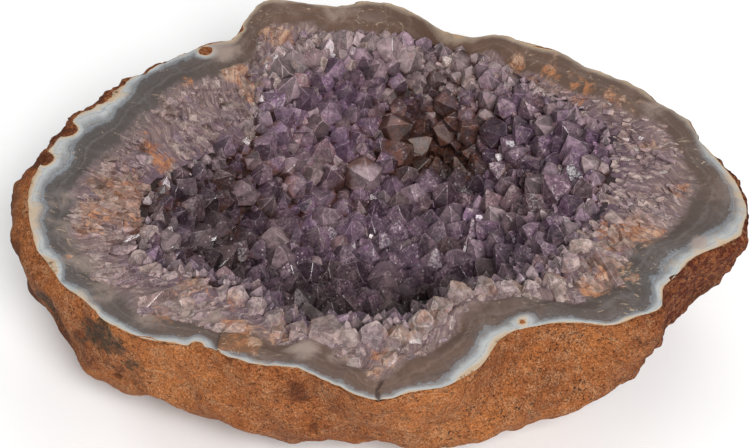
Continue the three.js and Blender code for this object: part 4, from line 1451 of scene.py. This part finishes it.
def placeShards(look, rng):
    placed = []
    roots = np.zeros((0, 3))
    halves = np.zeros(0)
    widths, stands, lengths, bareness = (closedCurve(look["lay"], column) for column in (1, 2, 3, 4))

    def put(root, axis, half, sink, shape, length, pale, clear=1.0):
        nonlocal roots, halves
        placed.append({
            "root": Vector(root - sink), "axis": Vector(axis), "half": half, "pale": pale, "shape": shape,
            "length": length, "twist": rng.uniform(0, 2 * math.pi), "tone": rng.uniform(0, clear),
        })
        roots = np.vstack([roots, root])
        halves = np.append(halves, half)

    for x, y, half in look["knuckles"]:
        theta = math.atan2(y, x)
        inward = np.array([-math.cos(theta), -math.sin(theta), rng.uniform(0.9, 1.5)])
        axis = unit(inward + [*rng.uniform(-0.3, 0.3, 2), 0])
        root = np.array([x, y, float(hollowHeight(theta)) + 0.15 * half])
        shape = 2 * look["shardShapes"] + int(rng.integers(look["knuckleShapes"]))
        put(root, axis, half, 0.2 * half * axis, shape, rng.uniform(0.8, 1), rng.uniform(0.45, 1), 0.5)
    for share, tries, crowding in look["tries"]:
        start = int(rng.integers(1, 5000))
        for n in range(start, start + tries):
            x, y = evenPlace(n, *look["field"])
            theta, away = math.atan2(y, x), math.hypot(x, y)
            outer, inner = float(rimRadius(theta) - greyEnd(theta)), float(hollowRadius(theta))
            half = share * float(widths(theta)) * rng.uniform(0.7, 1.2)
            behind = 9 * float(smoothStep(36, 50, y))
            if away > outer - 0.5 * half or away < inner - 0.4 - behind:
                continue
            level = np.clip((away - inner - crustWidth) / shelfReach(theta), 0, 1)
            high = float(shelfHeight(theta, level)) if away > inner else heightAt(x, y)
            root = np.array([x, y, high])
            if 0.5 + 0.5 * float(softNoise(root[None], 7, 61)[0]) < float(bareness(theta)):
                continue
            if isCrowded(roots, halves, root, half, crowding):
                continue
            inward = np.array([-math.cos(theta), -math.sin(theta), 0])
            side = np.array([math.sin(theta), -math.cos(theta), 0])
            stand = float(stands(theta)) + rng.uniform(-0.1, 0.2)
            axis = unit(inward + side * (rng.uniform(-0.2, 0.2) - look["swirl"]) + [0, 0, stand])
            if away < inner:
                axis = unit(normalAt(x, y) + [*rng.uniform(-0.4, 0.4, 2), 0.4])
            stubby = stand > 0.35 or away < inner
            sink = 0.45 * half * (axis + [0, 0, 1]) if stubby else np.array([0, 0, 0.72 * half])
            if away < inner:
                sink = 0.1 * half * axis
            shape = int(rng.integers(look["shardShapes"])) + (look["shardShapes"] if stubby else 0)
            length = float(lengths(theta)) * rng.uniform(0.8, 1.2)
            put(root, axis, half, sink, shape, length, rng.uniform(0, 1) ** 2)
    return placed


def buildBelt(look):
    rng = np.random.default_rng(look["seed"])
    shapes = [makeShard(rng, look["edgeWidth"]) for _ in range(look["shardShapes"])]
    shapes += makePoints(rng, look["shardShapes"], (0, 0.3), (0.1, 0.35), look["stubEdge"])
    shapes += makePoints(rng, look["knuckleShapes"], (0, 0.2), (0.1, 0.4), look["knuckleEdge"])
    placed = placeShards(look, rng)
    print("  shards:", len(placed))
    piece = uniteCrystals("brokenQuartz", shapes, placed)
    mesh = piece.data
    which = faceOwners(mesh)
    for name in ("tone", "pale"):
        addOwnValue(mesh, which, placed, name)
    addFlats(mesh, which)
    x, y = vertexPlaces(mesh).T[:2]
    addAttribute(mesh, "iron", spots(x, y, look["ironSpots"]) + look["ironAllOver"])
    finishPiece(mesh, makeShardMaterial(shardFinish))
    return piece


beltPiece = buildBelt(belt)
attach(beltPiece, "root")

print("floor, lights and camera")

studio = {
    "floor": (0.96, 0.96, 0.96),
    "floorHalf": 3.0,  # metres
    "aimHeight": 0.03,
    "sky": 0.28,
    "cameraAt": (-0.0007, -0.3744, 0.3562),
    "lookDown": 41,
    "lens": 85,
    "filmWidth": 36,
    "seesFrom": 0.01,
    "seesTo": 20,
    # name, place, size, power, seen in shiny faces
    "lights": [
        ("keyLight", (0.2, -0.7, 0.68), 0.36, 8.2, False),
        ("glintLight", (0.2, -0.7, 0.68), 0.18, 1.2, True),
        ("fillLight", (-0.6, 0.2, 0.75), 0.5, 1.6, False),
        ("backLight", (0.2, 0.6, 0.85), 0.9, 3.4, False),
    ],
}


def makeStudio(look):
    mesh = bpy.data.meshes.new("floor")
    s = look["floorHalf"]
    mesh.from_pydata([(-s, -s, 0), (s, -s, 0), (s, s, 0), (-s, s, 0)], [], [(0, 1, 2, 3)])
    material, shader = startMaterial("paleFloor")[::2]
    shader.inputs["Base Color"].default_value = (*look["floor"], 1)
    shader.inputs["Roughness"].default_value = 0.9
    floor = linkObject("floor", mesh, material)
    for name, place, size, power, shines in look["lights"]:
        lamp = bpy.data.lights.new(name, "AREA")
        lamp.size, lamp.energy = size, power
        item = bpy.data.objects.new(name, lamp)
        bpy.context.scene.collection.objects.link(item)
        item.location = place
        item.visible_glossy = shines
        aim = Vector((0, 0, look["aimHeight"])) - Vector(place)
        item.rotation_euler = aim.to_track_quat("-Z", "Y").to_euler()
    world = bpy.data.worlds.new("softSky")
    world.use_nodes = True
    world.node_tree.nodes["Background"].inputs[0].default_value = (1, 1, 1, 1)
    world.node_tree.nodes["Background"].inputs[1].default_value = look["sky"]
    bpy.context.scene.world = world
    lensData = bpy.data.cameras.new("camera")
    lensData.lens, lensData.sensor_width = look["lens"], look["filmWidth"]
    lensData.clip_start, lensData.clip_end = look["seesFrom"], look["seesTo"]
    camera = bpy.data.objects.new("camera", lensData)
    bpy.context.scene.collection.objects.link(camera)
    camera.location = look["cameraAt"]
    camera.rotation_euler = (math.radians(90 - look["lookDown"]), 0, 0)
    bpy.context.scene.camera = camera
    bpy.context.scene.view_settings.view_transform = "Standard"


makeStudio(studio)

print("done")
